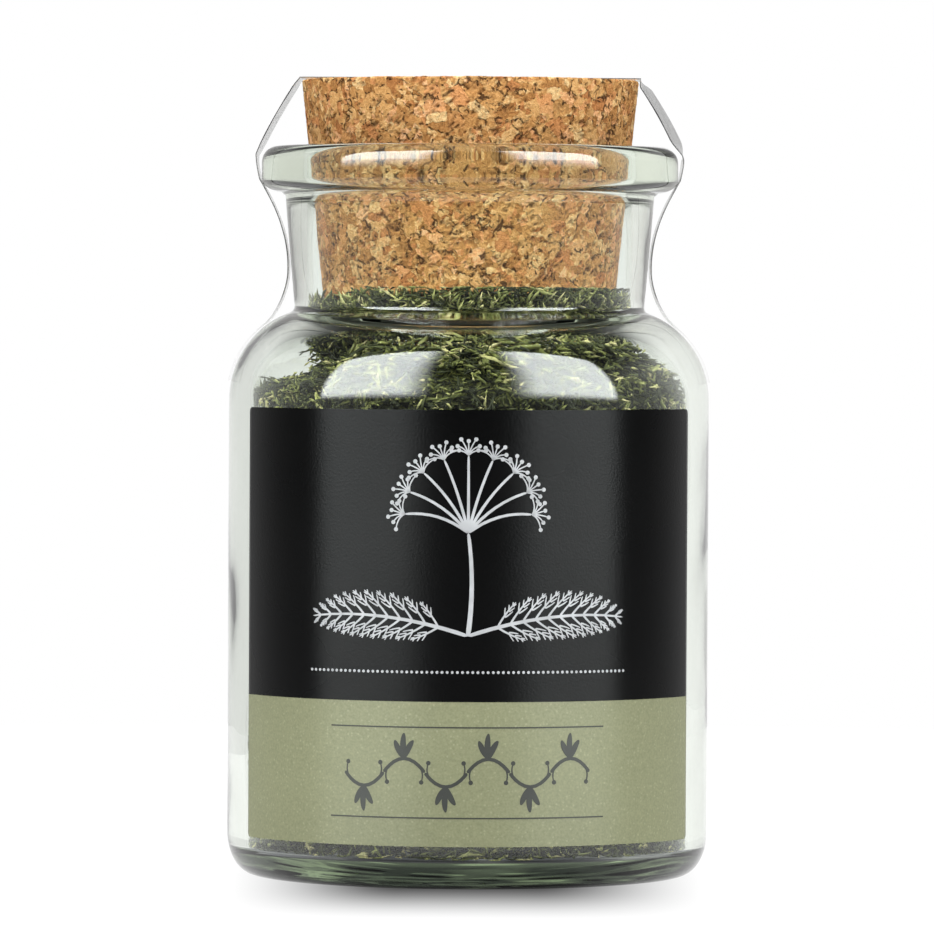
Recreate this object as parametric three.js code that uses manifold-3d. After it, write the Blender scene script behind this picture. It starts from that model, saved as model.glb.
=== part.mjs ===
// A corked glass jar filled with dried dill tips. Millimetres, +Z up, the jar standing on z = 0
// with its axis on Z and the label facing -Y.
import * as THREE from 'three';
import { mergeVertices } from 'three/addons/utils/BufferGeometryUtils.js';
import Module from 'manifold-3d';

const wasm = await Module();
wasm.setup();

// ---- driving dimensions ----
const TURN_STEPS = 60; // facets round the axis, shared by the jar, the cork and the label

const JAR_RADIUS = 30;
const JAR_HEIGHT = 90.8;
const WALL = 2.6;
const HEEL = { width: 3.4, height: 5.2 }; // rounding of the foot, an ellipse's quarter
const FOOT_RING_WIDTH = 3.6;
const PUNT_HEIGHT = 3; // hollow under the base
const SHOULDER = { start: 59.2, radius: 11.6 };
const NECK = { radius: 21.85, flare: 1.2, top: 84.6, blend: 0.8, boreRadius: 20.4, boreBlend: 1.2 };
const LIP = {
  radius: 26,
  under: { width: 2.6, height: 1.7, step: 0.5 }, // rounded underside, and how far it starts above the neck
  edgeRadius: 1.5,
  mouthRadius: 1.2,
};
const FLOOR = { edge: 3.5, centre: 6.3, blend: 1.8 };

const CORK = { topRadius: 21.05, bottomRadius: 18.3, top: 99.1, bottom: 72.4, chamfer: 0.3 };

const LABEL = { low: 5.4, high: 58.4, halfTurn: 63.4, gap: 0.08, thickness: 0.2 };

const STRIP = {
  width: 13,
  thickness: 0.2,
  gap: 0.2, // clear of the cork, the lip and the shoulder
  bulge: { left: 0.4, right: 1 }, // how far the film bows out between the cork and the lip
  lipStand: 0.55, // how far it stands off the lip's top corner
  lipDrop: 1.1, // how far below the mouth it passes that corner
  waist: { gap: 0.85, height: 75.5 }, // where it draws in closest to the neck
  landingAngle: 52, // where it meets the shoulder's arc, from the level
  endHeight: 61.5,
};

const DILL = {
  glassGap: 0.45,
  floorGap: 0.75,
  corkGap: 0.35,
  wallHeight: 61.5, // where the heap meets the glass
  neckHeight: 69.2, // where it enters the neck
  neckRadius: 18.6,
  coreDepth: 2.3, // how far the packed core lies behind the outermost tips
  coreLump: 0.9, // how far its surface is dented in
  coreFacets: 22,
  leaflets: 680,
  leafletsPerSprig: 3,
  leafletLength: [7.5, 12],
  leafletWidth: 1.9,
  footDepth: 2.2, // how deep a sprig's foot is buried in the core
  footSpread: 1.3, // how far apart its leaflets leave the core
  rise: [2.6, 6], // how far a leaflet's tip stands off its foot
  forkAngle: 30,
  underShare: 0.15, // share of the sprigs kept where they would lie under the heap
  seed: 4127,
};

// ---- helpers ----
const EVEN_STEPS = [0.7548777, 0.5698403]; // multiples of these, modulo 1, spread evenly over a square
const degrees = THREE.MathUtils.degToRad;

// A repeatable run of numbers from 0 to 1.
function seededRandom(seed) {
  let state = seed >>> 0;
  return () => {
    state = (Math.imul(state, 1664525) + 1013904223) >>> 0;
    return state / 4294967296;
  };
}

// Points of an elliptical arc in the (radius, height) plane, its angles in degrees from +radius.
function arc(centre, radiusX, radiusZ, from, to, steps) {
  return Array.from({ length: steps + 1 }, (_, i) => {
    const angle = degrees(from + ((to - from) * i) / steps);
    return new THREE.Vector2(centre.x + radiusX * Math.cos(angle), centre.y + radiusZ * Math.sin(angle));
  });
}

// Centre and contact angle of a small circle that rounds a vertical wall into a big circle. The small
// circle lies outside the wall's line, and touches the big one from outside.
function blendInto(bigCentre, bigRadius, wallRadius, blendRadius) {
  const across = wallRadius + blendRadius - bigCentre.x;
  const up = Math.sqrt((bigRadius + blendRadius) ** 2 - across ** 2);
  const centre = new THREE.Vector2(bigCentre.x + across, bigCentre.y + up);
  return { centre, angle: THREE.MathUtils.radToDeg(Math.atan2(up, across)) };
}

// The floor swells from its edge to its middle as a parabola.
function floorHeightAt(radius) {
  const share = Math.min(radius / (JAR_RADIUS - WALL - FLOOR.blend), 1);
  return FLOOR.centre - (FLOOR.centre - FLOOR.edge) * share ** 2;
}

// A solid of revolution about Z from a profile of (radius, height) points.
function revolve(profile, steps = TURN_STEPS) {
  return new THREE.LatheGeometry(profile, steps).rotateX(Math.PI / 2);
}

// A closed geometry as a manifold-3d solid.
function toSolid(geometry) {
  const bare = geometry.clone();
  bare.deleteAttribute('normal');
  bare.deleteAttribute('uv');
  const merged = mergeVertices(bare, 1e-4);
  return new wasm.Manifold(new wasm.Mesh({
    numProp: 3,
    vertProperties: merged.attributes.position.array,
    triVerts: new Uint32Array(merged.index.array),
  }));
}

function fromSolid(solid) {
  const { vertProperties, triVerts } = solid.getMesh();
  const geometry = new THREE.BufferGeometry();
  geometry.setAttribute('position', new THREE.BufferAttribute(vertProperties, 3));
  geometry.setIndex(new THREE.BufferAttribute(triVerts, 1));
  return geometry;
}

// A closed shell over a grid of outer points and the matching grid of inner points.
// Both are arrays of rows, and the first and last rows and columns are the shell's edges.
function shell(outer, inner) {
  const rows = outer.length;
  const columns = outer[0].length;
  const positions = [...outer.flat(), ...inner.flat()].flatMap((p) => p.toArray());
  const outside = (i, j) => i * columns + j;
  const inside = (i, j) => rows * columns + i * columns + j;
  const triangles = [];
  const quad = (a, b, c, d) => triangles.push(a, b, c, a, c, d);
  for (let i = 0; i < rows - 1; i += 1) {
    for (let j = 0; j < columns - 1; j += 1) {
      quad(outside(i, j), outside(i + 1, j), outside(i + 1, j + 1), outside(i, j + 1));
      quad(inside(i, j), inside(i, j + 1), inside(i + 1, j + 1), inside(i + 1, j));
    }
    const last = columns - 1;
    quad(outside(i, 0), inside(i, 0), inside(i + 1, 0), outside(i + 1, 0));
    quad(outside(i, last), outside(i + 1, last), inside(i + 1, last), inside(i, last));
  }
  for (let j = 0; j < columns - 1; j += 1) {
    const end = rows - 1;
    quad(outside(0, j), outside(0, j + 1), inside(0, j + 1), inside(0, j));
    quad(outside(end, j), inside(end, j), inside(end, j + 1), outside(end, j + 1));
  }
  const geometry = new THREE.BufferGeometry();
  geometry.setAttribute('position', new THREE.Float32BufferAttribute(positions, 3));
  geometry.setIndex(triangles);
  return geometry;
}

function piece(name, geometry, material) {
  geometry.computeVertexNormals();
  const mesh = new THREE.Mesh(geometry, new THREE.MeshStandardMaterial(material));
  mesh.name = name;
  return mesh;
}

// ---- the jar: one glass solid, open at the mouth ----
const shoulderCentre = new THREE.Vector2(JAR_RADIUS - SHOULDER.radius, SHOULDER.start);
const innerRadius = JAR_RADIUS - WALL;
const innerShoulderRadius = SHOULDER.radius - WALL;

function jarProfile() {
  const footOuter = JAR_RADIUS - HEEL.width;
  const footInner = footOuter - FOOT_RING_WIDTH;
  const outerBlend = blendInto(shoulderCentre, SHOULDER.radius, NECK.radius, NECK.blend);
  const innerBlend = blendInto(shoulderCentre, innerShoulderRadius, NECK.boreRadius, NECK.boreBlend);
  const { width, height, step } = LIP.under;
  const underCentre = new THREE.Vector2(LIP.radius - width, NECK.top + step + height);
  const rimOuter = new THREE.Vector2(LIP.radius - LIP.edgeRadius, JAR_HEIGHT - LIP.edgeRadius);
  const rimInner = new THREE.Vector2(NECK.boreRadius + LIP.mouthRadius, JAR_HEIGHT - LIP.mouthRadius);
  const floorCorner = new THREE.Vector2(innerRadius - FLOOR.blend, FLOOR.edge + FLOOR.blend);
  const floor = [2 / 3, 1 / 3, 0].map((t) => t * floorCorner.x)
    .map((radius) => new THREE.Vector2(radius, floorHeightAt(radius)));
  return [
    ...arc(new THREE.Vector2(0, 0), footInner, PUNT_HEIGHT, 90, 0, 3),
    ...arc(new THREE.Vector2(footOuter, HEEL.height), HEEL.width, HEEL.height, -90, 0, 4),
    ...arc(shoulderCentre, SHOULDER.radius, SHOULDER.radius, 0, outerBlend.angle, 5),
    ...arc(outerBlend.centre, NECK.blend, NECK.blend, 180 + outerBlend.angle, 180, 2).slice(1),
    new THREE.Vector2(NECK.radius + NECK.flare, NECK.top),
    ...arc(underCentre, width, height, -84, 0, 3),
    ...arc(rimOuter, LIP.edgeRadius, LIP.edgeRadius, 0, 90, 2),
    ...arc(rimInner, LIP.mouthRadius, LIP.mouthRadius, 90, 180, 2),
    ...arc(innerBlend.centre, NECK.boreBlend, NECK.boreBlend, 180, 180 + innerBlend.angle, 2),
    ...arc(shoulderCentre, innerShoulderRadius, innerShoulderRadius, innerBlend.angle, 0, 4).slice(1),
    ...arc(floorCorner, FLOOR.blend, FLOOR.blend, 0, -90, 3),
    ...floor,
  ];
}

function makeJar() {
  return piece('jar', revolve(jarProfile()), {
    color: 0xd9e4da, roughness: 0.05, metalness: 0, transparent: true, opacity: 0.35,
  });
}

// ---- the cork: a tapered plug with its edges broken ----
function corkRadiusAt(height) {
  const t = (height - CORK.bottom) / (CORK.top - CORK.bottom);
  return THREE.MathUtils.lerp(CORK.bottomRadius, CORK.topRadius, t);
}

function makeCork() {
  const { top, bottom, chamfer } = CORK;
  const profile = [
    new THREE.Vector2(0, bottom),
    new THREE.Vector2(corkRadiusAt(bottom) - chamfer, bottom),
    new THREE.Vector2(corkRadiusAt(bottom + chamfer), bottom + chamfer),
    new THREE.Vector2(corkRadiusAt(top - chamfer), top - chamfer),
    new THREE.Vector2(corkRadiusAt(top) - chamfer, top),
    new THREE.Vector2(0, top),
  ];
  return piece('cork', revolve(profile), { color: 0xbc8e5c, roughness: 0.85, metalness: 0 });
}

// ---- the label: a sheet wrapped round the front of the body, its facets on the jar's facets ----
function makeLabel() {
  const facet = 360 / TURN_STEPS;
  const inner = JAR_RADIUS + LABEL.gap;
  const outer = inner + LABEL.thickness;
  const corner = (radius, i) => new THREE.Vector2(
    radius * Math.sin(degrees(i * facet)),
    -radius * Math.cos(degrees(i * facet)),
  );
  // A point of the jar's many-sided section, between two of its corners, at a turn from the front.
  const onFacet = (radius, turn) => {
    const i = Math.floor(turn / facet);
    return corner(radius, i).lerp(corner(radius, i + 1), turn / facet - i);
  };
  const whole = Math.floor(LABEL.halfTurn / facet);
  const turns = [-LABEL.halfTurn, LABEL.halfTurn];
  for (let i = -whole; i <= whole; i += 1) turns.splice(-1, 0, i * facet);
  const outline = [
    ...turns.map((turn) => onFacet(outer, turn)),
    ...turns.toReversed().map((turn) => onFacet(inner, turn)),
  ];
  const height = LABEL.high - LABEL.low;
  const sheet = { depth: height, bevelEnabled: false };
  const geometry = new THREE.ExtrudeGeometry(new THREE.Shape(outline), sheet).translate(0, 0, LABEL.low);
  return piece('label', geometry, { color: 0x161716, roughness: 0.45, metalness: 0 });
}

// ---- the seal strip: clear film over the cork, down across the lip to the shoulder ----
// One side's centreline in the (distance from the axis, height) plane, from the top's middle downwards.
function stripCentreline(bulge) {
  const clear = STRIP.gap + STRIP.thickness / 2;
  const top = CORK.top + clear;
  const corner = new THREE.Vector2(CORK.topRadius, top);
  const lipHigh = new THREE.Vector2(LIP.radius + STRIP.lipStand, JAR_HEIGHT - STRIP.lipDrop);
  const sideFoot = NECK.top + LIP.under.step + LIP.under.height;
  const lipLow = new THREE.Vector2(LIP.radius + clear, sideFoot);
  const waist = new THREE.Vector2(NECK.radius + STRIP.waist.gap, STRIP.waist.height);
  const endTurn = Math.asin((STRIP.endHeight - SHOULDER.start) / SHOULDER.radius);
  const endAngle = THREE.MathUtils.radToDeg(endTurn);
  const shoulderRadius = SHOULDER.radius + clear;
  const onShoulder = arc(shoulderCentre, shoulderRadius, shoulderRadius, STRIP.landingAngle, endAngle, 4);
  const landing = onShoulder[0];
  const span = new THREE.QuadraticBezierCurve(
    corner,
    corner.clone().add(lipHigh).multiplyScalar(0.5).add(new THREE.Vector2(1.75 * bulge, bulge)),
    lipHigh,
  );
  const toWaist = new THREE.CubicBezierCurve(
    lipLow,
    new THREE.Vector2(lipLow.x - 1.3, lipLow.y - 2.6),
    new THREE.Vector2(waist.x, waist.y + 5),
    waist,
  );
  const toShoulder = new THREE.CubicBezierCurve(
    waist,
    new THREE.Vector2(waist.x, waist.y - 2.6),
    new THREE.Vector2(landing.x - 1.7, landing.y + 1.35),
    landing,
  );
  return [
    new THREE.Vector2(0, top),
    new THREE.Vector2(CORK.topRadius / 2, top),
    ...span.getPoints(5),
    ...toWaist.getPoints(6),
    ...toShoulder.getPoints(5).slice(1),
    ...onShoulder.slice(1),
  ];
}

function makeSealStrip() {
  const left = stripCentreline(STRIP.bulge.left).map((p) => new THREE.Vector2(-p.x, p.y));
  const right = stripCentreline(STRIP.bulge.right);
  const line = [...left.reverse(), ...right.slice(1)];
  const across = [-1, -1 / 3, 1 / 3, 1];
  const grid = (side) => line.map((point, i) => {
    const before = line[Math.max(i - 1, 0)];
    const after = line[Math.min(i + 1, line.length - 1)];
    const along = after.clone().sub(before).normalize();
    const normal = new THREE.Vector2(-along.y, along.x).multiplyScalar((side * STRIP.thickness) / 2);
    const middle = point.clone().add(normal);
    return across.map((t) => new THREE.Vector3(middle.x, (t * STRIP.width) / 2, middle.y));
  });
  return piece('seal_strip', shell(grid(1), grid(-1)), {
    color: 0xc9c9c4, roughness: 0.25, metalness: 0, transparent: true, opacity: 0.4,
  });
}

// ---- the dill: a packed, dented core, and forked leaflets that stand out of it on every side ----
function dillProfile() {
  const wall = innerRadius - DILL.glassGap - DILL.coreDepth;
  const foot = new THREE.Vector2(wall - FLOOR.blend, floorHeightAt(wall) + DILL.floorGap + FLOOR.blend);
  const brink = new THREE.Vector2(wall, DILL.wallHeight - 0.8 * DILL.coreDepth);
  const neck = new THREE.Vector2(DILL.neckRadius - DILL.coreDepth, DILL.neckHeight - 0.8 * DILL.coreDepth);
  const top = new THREE.Vector2(0, CORK.bottom - DILL.corkGap - 0.7 * DILL.coreDepth);
  const between = (from, to, parts) => Array.from(
    { length: parts - 1 },
    (_, i) => from.clone().lerp(to, (i + 1) / parts),
  );
  const underside = [0, 1 / 3, 2 / 3].map((t) => new THREE.Vector2(
    t * foot.x,
    floorHeightAt(t * foot.x) + DILL.floorGap,
  ));
  const rounded = arc(foot, FLOOR.blend, FLOOR.blend, -90, 0, 2);
  return [
    ...underside,
    ...rounded,
    ...between(rounded.at(-1), brink, 6),
    brink,
    ...between(brink, neck, 2),
    neck,
    ...between(neck, top, 3),
    top,
  ];
}

// True where a leaflet's point is clear of the glass and of the cork.
function clearOfJar(p) {
  const radius = Math.hypot(p.x, p.y);
  if (p.z > CORK.bottom - DILL.corkGap || p.z < floorHeightAt(radius) + DILL.glassGap) return false;
  if (p.z > SHOULDER.start) {
    const inNeck = radius < NECK.boreRadius - 2 * DILL.glassGap;
    const out = Math.hypot(radius - shoulderCentre.x, p.z - shoulderCentre.y);
    return inNeck || out < innerShoulderRadius - 1.5 * DILL.glassGap;
  }
  const corner = new THREE.Vector2(innerRadius - FLOOR.blend, FLOOR.edge + FLOOR.blend);
  if (radius > corner.x && p.z < corner.y) {
    return Math.hypot(radius - corner.x, p.z - corner.y) < FLOOR.blend - DILL.glassGap;
  }
  return radius < innerRadius - DILL.glassGap;
}

function makeDillCore(profile, random) {
  const geometry = revolve(profile, DILL.coreFacets).deleteAttribute('normal').deleteAttribute('uv');
  const core = mergeVertices(geometry, 1e-3);
  const position = core.attributes.position;
  const middle = new THREE.Vector3(0, 0, (CORK.bottom + FLOOR.centre) / 2);
  for (let i = 0; i < position.count; i += 1) {
    const point = new THREE.Vector3().fromBufferAttribute(position, i);
    const inward = middle.clone().sub(point).normalize();
    point.addScaledVector(inward, DILL.coreLump * random());
    position.setXYZ(i, ...point.toArray());
  }
  return toSolid(core);
}

// A three-sided needle from foot to tip, as four triangles, with its corners listed.
function needle(foot, tip, width, twist) {
  const along = tip.clone().sub(foot).normalize();
  const side = new THREE.Vector3(-along.y, along.x, 0.01).cross(along).normalize();
  const [a, b, c] = [0, 1, 2].map((k) => side.clone()
    .applyAxisAngle(along, twist + (k * 2 * Math.PI) / 3)
    .multiplyScalar(width / Math.sqrt(3))
    .add(foot));
  const positions = [a, c, b, a, b, tip, b, c, tip, c, a, tip].flatMap((p) => p.toArray());
  const geometry = new THREE.BufferGeometry();
  geometry.setAttribute('position', new THREE.Float32BufferAttribute(positions, 3));
  return { geometry, corners: [a, b, c, tip] };
}

// The place at a share of the revolved profile's area and a turn round the axis: its point, outward
// normal and the direction round the axis.
function placeOnHeap(profile, share, turn) {
  const areas = profile.slice(1).map((p, i) => p.distanceTo(profile[i]) * (p.x + profile[i].x));
  let left = share * areas.reduce((sum, area) => sum + area, 0);
  let k = 0;
  while (left > areas[k]) {
    left -= areas[k];
    k += 1;
  }
  const at = profile[k].clone().lerp(profile[k + 1], left / areas[k]);
  const along = profile[k + 1].clone().sub(profile[k]).normalize();
  const spin = (x, z) => new THREE.Vector3(x * Math.cos(turn), x * Math.sin(turn), z);
  return {
    point: spin(at.x, at.y),
    normal: spin(along.y, -along.x),
    round: new THREE.Vector3(-Math.sin(turn), Math.cos(turn), 0),
  };
}

// Points down a needle's middle, each with the needle's half width there.
function beadsOf(foot, tip, width) {
  return [0.3, 0.45, 0.6, 0.75, 0.95].map((t) => ({
    at: foot.clone().lerp(tip, t),
    radius: 0.5 * width * (1 - t),
  }));
}

function beadsCross(beads, others) {
  return beads.some((a) => others.some((b) => a.at.distanceTo(b.at) < a.radius + b.radius + 0.1));
}

// The leaflets of one sprig: they fan out from a foot buried in the core, and rise off its surface
// as far as the glass leaves room. Those that would cross a leaflet already there are left out.
function growSprig({ point, normal, round }, random, placed) {
  if (normal.z < -0.5 && random() > DILL.underShare) return;
  const heading = round.clone().applyAxisAngle(normal, random() * 2 * Math.PI);
  const sideways = normal.clone().cross(heading);
  const grown = [];
  for (let i = 0; i < DILL.leafletsPerSprig; i += 1) {
    const rank = i - (DILL.leafletsPerSprig - 1) / 2;
    const angle = rank * DILL.forkAngle + 12 * (random() - 0.5);
    const length = THREE.MathUtils.lerp(...DILL.leafletLength, random());
    const highest = THREE.MathUtils.lerp(...DILL.rise, 0.4 + 0.6 * random());
    const twist = random() * Math.PI;
    const direction = heading.clone().applyAxisAngle(normal, degrees(angle));
    const foot = point.clone()
      .addScaledVector(normal, -DILL.footDepth)
      .addScaledVector(sideways, rank * DILL.footSpread);
    for (let rise = highest; rise > DILL.rise[0]; rise -= 0.3) {
      const tip = foot.clone().addScaledVector(direction, length).addScaledVector(normal, rise);
      const { geometry, corners } = needle(foot, tip, DILL.leafletWidth, twist);
      const beads = beadsOf(foot, tip, DILL.leafletWidth);
      if (corners.every(clearOfJar) && !beadsCross(beads, placed.beads)) {
        grown.push({ geometry, beads });
        break;
      }
    }
  }
  grown.forEach(({ geometry, beads }) => {
    placed.solids.push(toSolid(geometry));
    placed.beads.push(...beads);
  });
}

function makeDill() {
  const random = seededRandom(DILL.seed);
  const profile = dillProfile();
  const placed = { solids: [makeDillCore(profile, random)], beads: [] };
  for (let i = 1; placed.solids.length < DILL.leaflets; i += 1) {
    const share = (i * EVEN_STEPS[0]) % 1;
    const turn = ((i * EVEN_STEPS[1]) % 1) * 2 * Math.PI;
    growSprig(placeOnHeap(profile, share, turn), random, placed);
  }
  const joined = wasm.Manifold.union(placed.solids);
  // A scrap that touches nothing is dropped, and a pocket shut in between leaflets is filled.
  const [dill] = joined.decompose().sort((a, b) => b.volume() - a.volume());
  return piece('dill', fromSolid(dill), { color: 0x5f6a3c, roughness: 0.9, metalness: 0 });
}

const corkedJarOfDill = new THREE.Group();
corkedJarOfDill.add(makeJar(), makeDill(), makeCork(), makeLabel(), makeSealStrip());

export default corkedJarOfDill;
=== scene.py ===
import math

import bpy
import numpy as np
from mathutils import Matrix, Vector


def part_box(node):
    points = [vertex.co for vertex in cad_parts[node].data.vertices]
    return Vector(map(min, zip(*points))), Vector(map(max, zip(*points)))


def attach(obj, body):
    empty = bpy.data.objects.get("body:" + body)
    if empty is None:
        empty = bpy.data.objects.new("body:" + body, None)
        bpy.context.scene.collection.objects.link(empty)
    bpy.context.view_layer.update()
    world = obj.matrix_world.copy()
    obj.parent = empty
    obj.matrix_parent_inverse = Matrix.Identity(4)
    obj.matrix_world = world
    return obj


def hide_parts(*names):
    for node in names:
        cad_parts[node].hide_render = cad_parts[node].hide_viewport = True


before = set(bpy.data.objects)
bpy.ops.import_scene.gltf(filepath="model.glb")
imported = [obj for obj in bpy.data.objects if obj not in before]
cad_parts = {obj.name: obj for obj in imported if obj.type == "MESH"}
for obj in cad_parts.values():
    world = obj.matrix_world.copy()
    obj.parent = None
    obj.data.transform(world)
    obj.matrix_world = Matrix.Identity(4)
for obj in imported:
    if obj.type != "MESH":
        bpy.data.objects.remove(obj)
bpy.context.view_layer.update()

# A corked glass jar of dried dill tips. Sizes are in millimetres and become metres when a mesh,
# a lamp or the camera is made. The jar stands on z = 0 with its label towards -Y.
metre = 0.001

viewpoint = {
    "distance": 946.0,  # in front of the jar's axis
    "height": 72.2,
    "sideways": -0.2,
    "pitchDown": 1.2945,  # degrees
    "roll": 0.28,  # degrees, clockwise
    "lens": 291.7,
}


def makeCamera():
    data = bpy.data.cameras.new("camera")
    data.lens = viewpoint["lens"]
    data.sensor_width = 36
    data.clip_start, data.clip_end = 0.05, 20
    camera = bpy.data.objects.new("camera", data)
    place = Vector((viewpoint["sideways"], -viewpoint["distance"], viewpoint["height"])) * metre
    tilt = Matrix.Rotation(math.radians(90 - viewpoint["pitchDown"]), 4, "X")
    roll = Matrix.Rotation(math.radians(viewpoint["roll"]), 4, "Z")
    camera.matrix_world = Matrix.Translation(place) @ tilt @ roll
    bpy.context.scene.collection.objects.link(camera)
    bpy.context.scene.camera = camera


makeCamera()
print("camera set")


# meshes from whole arrays

def outwardFaces(points, faces):
    # six times the enclosed volume is the sum of a . (b x c) over a fan of triangles; where it is below
    # nothing, the faces look inwards and are turned round
    volume = 0.0
    for block in faces:
        for k in range(1, block.shape[1] - 1):
            a, b, c = points[block[:, 0]], points[block[:, k]], points[block[:, k + 1]]
            volume += np.einsum("ij,ij->", a, np.cross(b, c))
    return faces if volume > 0 else [block[:, ::-1] for block in faces]


def meshPiece(name, points, faces, material, stands, attributes=None, smooth=True):
    # points is (n, 3) in millimetres, faces a list of arrays of corner numbers, one row for each face
    points = np.asarray(points, float).reshape(-1, 3)
    faces = outwardFaces(points, faces)
    mesh = bpy.data.meshes.new(name)
    mesh.vertices.add(len(points))
    mesh.vertices.foreach_set("co", (points * metre).astype(np.float32).ravel())
    corners = np.concatenate([block.ravel() for block in faces]).astype(np.int32)
    sizes = np.concatenate([np.full(len(block), block.shape[1]) for block in faces])
    mesh.loops.add(len(corners))
    mesh.loops.foreach_set("vertex_index", corners)
    mesh.polygons.add(len(sizes))
    mesh.polygons.foreach_set("loop_start", (np.cumsum(sizes) - sizes).astype(np.int32))
    mesh.polygons.foreach_set("use_smooth", np.full(len(sizes), smooth))
    for key, values in (attributes or {}).items():
        mesh.attributes.new(key, "FLOAT", "POINT").data.foreach_set("value", values.astype(np.float32))
    mesh.update(calc_edges=True)
    mesh.validate()
    mesh.materials.append(material)
    piece = bpy.data.objects.new(name, mesh)
    bpy.context.scene.collection.objects.link(piece)
    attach(piece, "root")
    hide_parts(stands)


def gridFaces(rows, columns, closed=False, first=0):
    # quads of a grid of rows x columns points, numbered row by row; closed joins the last column to the first
    i, j = np.meshgrid(np.arange(rows - 1), np.arange(columns if closed else columns - 1), indexing="ij")
    nextJ = (j + 1) % columns
    quads = [i * columns + j, i * columns + nextJ, (i + 1) * columns + nextJ, (i + 1) * columns + j]
    return first + np.stack(quads, -1).reshape(-1, 4)


def turnedRows(rows, steps, reshape=None):
    # each (r, z) turned about Z in even steps: (r cos t, r sin t, z); reshape(r, z, t) may move them first
    r, z = (np.repeat(part, steps, 1) for part in (rows[:, :1], rows[:, 1:]))
    t = np.repeat(np.arange(steps)[None] * 2 * np.pi / steps, len(rows), 0)
    if reshape is not None:
        r, z = reshape(r, z, t)
    return np.stack([r * np.cos(t), r * np.sin(t), z], -1).reshape(-1, 3)


def revolve(profile, steps, reshape=None):
    # the profile starts and ends on the axis, where each end is one pole; the rows between are turned about Z
    rings = turnedRows(profile[1:-1], steps, reshape)
    poles = np.array([[0, 0, profile[0, 1]], [0, 0, profile[-1, 1]]])
    points = np.concatenate([rings, poles])
    j = np.arange(steps)
    k = (j + 1) % steps
    low, high = len(rings), len(rings) + 1
    lastRow = len(rings) - steps
    bottomFan = np.stack([np.full(steps, low), k, j], -1)
    topFan = np.stack([np.full(steps, high), lastRow + j, lastRow + k], -1)
    return points, [gridFaces(len(profile) - 2, steps, closed=True), bottomFan, topFan]


def closedShell(outer, inner):
    # two grids of points, (rows, columns, 3), joined along their four edges
    rows, columns = outer.shape[:2]
    points = np.concatenate([outer.reshape(-1, 3), inner.reshape(-1, 3)])
    number = np.arange(rows * columns).reshape(rows, columns)
    rim = np.concatenate([number[0, :-1], number[:-1, -1], number[-1, :0:-1], number[:0:-1, 0]])
    after = np.roll(rim, -1)
    below = rows * columns
    edge = np.stack([rim, rim + below, after + below, after], -1)
    return points, [gridFaces(rows, columns), gridFaces(rows, columns, first=below)[:, ::-1], edge]


def arcPoints(centre, radiusR, radiusZ, start, end, steps):
    # an ellipse's arc in the (r, z) plane, from start to end in degrees from +r
    a = np.radians(np.linspace(start, end, steps + 1))
    return np.stack([centre[0] + radiusR * np.cos(a), centre[1] + radiusZ * np.sin(a)], -1)


def bezier(points, steps):
    # a Bezier curve through de Casteljau's repeated halving, worked out at steps + 1 even values of t
    t = np.linspace(0, 1, steps + 1)[:, None]
    level = [np.array(p, float)[None] for p in points]
    while len(level) > 1:
        level = [a * (1 - t) + b * t for a, b in zip(level[:-1], level[1:])]
    return level[0]


def levelled(total, waves):
    # a sum of sines brought to about -1 to 1: it seldom passes 1.8 times the square root of half their number
    return total / math.sqrt(waves / 2) / 1.8


def ripple(turn, height, waves, seed):
    # a smooth field on a round wall: sines of a whole number of turns plus height
    dice = np.random.default_rng(seed)
    total = np.zeros(np.broadcast(turn, height).shape)
    for _ in range(waves):
        around, up, phase = dice.integers(1, 7), dice.uniform(-0.25, 0.25), dice.uniform(0, 2 * np.pi)
        total += np.sin(around * turn + up * height + phase)
    return levelled(total, waves)


def swell(x, y, waves, seed):
    # the same over a flat round: plane waves 5 to 12 mm long
    dice = np.random.default_rng(seed)
    total = 0
    for _ in range(waves):
        way, length, phase = dice.uniform(0, 2 * np.pi), dice.uniform(5, 12), dice.uniform(0, 2 * np.pi)
        total = total + np.sin((x * np.cos(way) + y * np.sin(way)) * 2 * np.pi / length + phase)
    return levelled(total, waves)


def smoothStep(low, high, x):
    # 0 below low and 1 above high, or the other way round, by 3 t^2 - 2 t^3 between them
    t = np.clip((x - low) / (high - low), 0, 1)
    return t * t * (3 - 2 * t)


def unit(v):
    return v / np.maximum(np.linalg.norm(v, axis=-1, keepdims=True), 1e-9)


def refined(line, pieces):
    # a line's points with each stretch cut into this many even pieces
    stretches = [np.linspace(a, b, pieces, endpoint=False) for a, b in zip(line[:-1], line[1:])]
    return np.concatenate([*stretches, line[-1:]])


def outOf(profile):
    # the unit normals of an (r, z) profile, on the right-hand side of its way
    slope = np.gradient(profile, axis=0)
    return unit(np.stack([slope[:, 1], -slope[:, 0]], -1))


def diceAt(cell, seed):
    # three repeatable numbers from 0 to 1 for each whole-numbered cube, by multiplying and folding its bits
    k = cell.astype(np.int64)
    out = []
    for axis in range(3):
        h = k[:, 0] * 73856093 ^ k[:, 1] * 19349663 ^ k[:, 2] * 83492791 ^ (seed * 7919 + axis * 104729)
        h = (h ^ (h >> 13)) * 1274126177 & 0xFFFFFFFF
        h = (h ^ (h >> 16)) * 668265263 & 0xFFFFFFFF
        out.append(((h ^ (h >> 15)) & 0xFFFFFF) / 0x1000000)
    return np.stack(out, -1)


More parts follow.
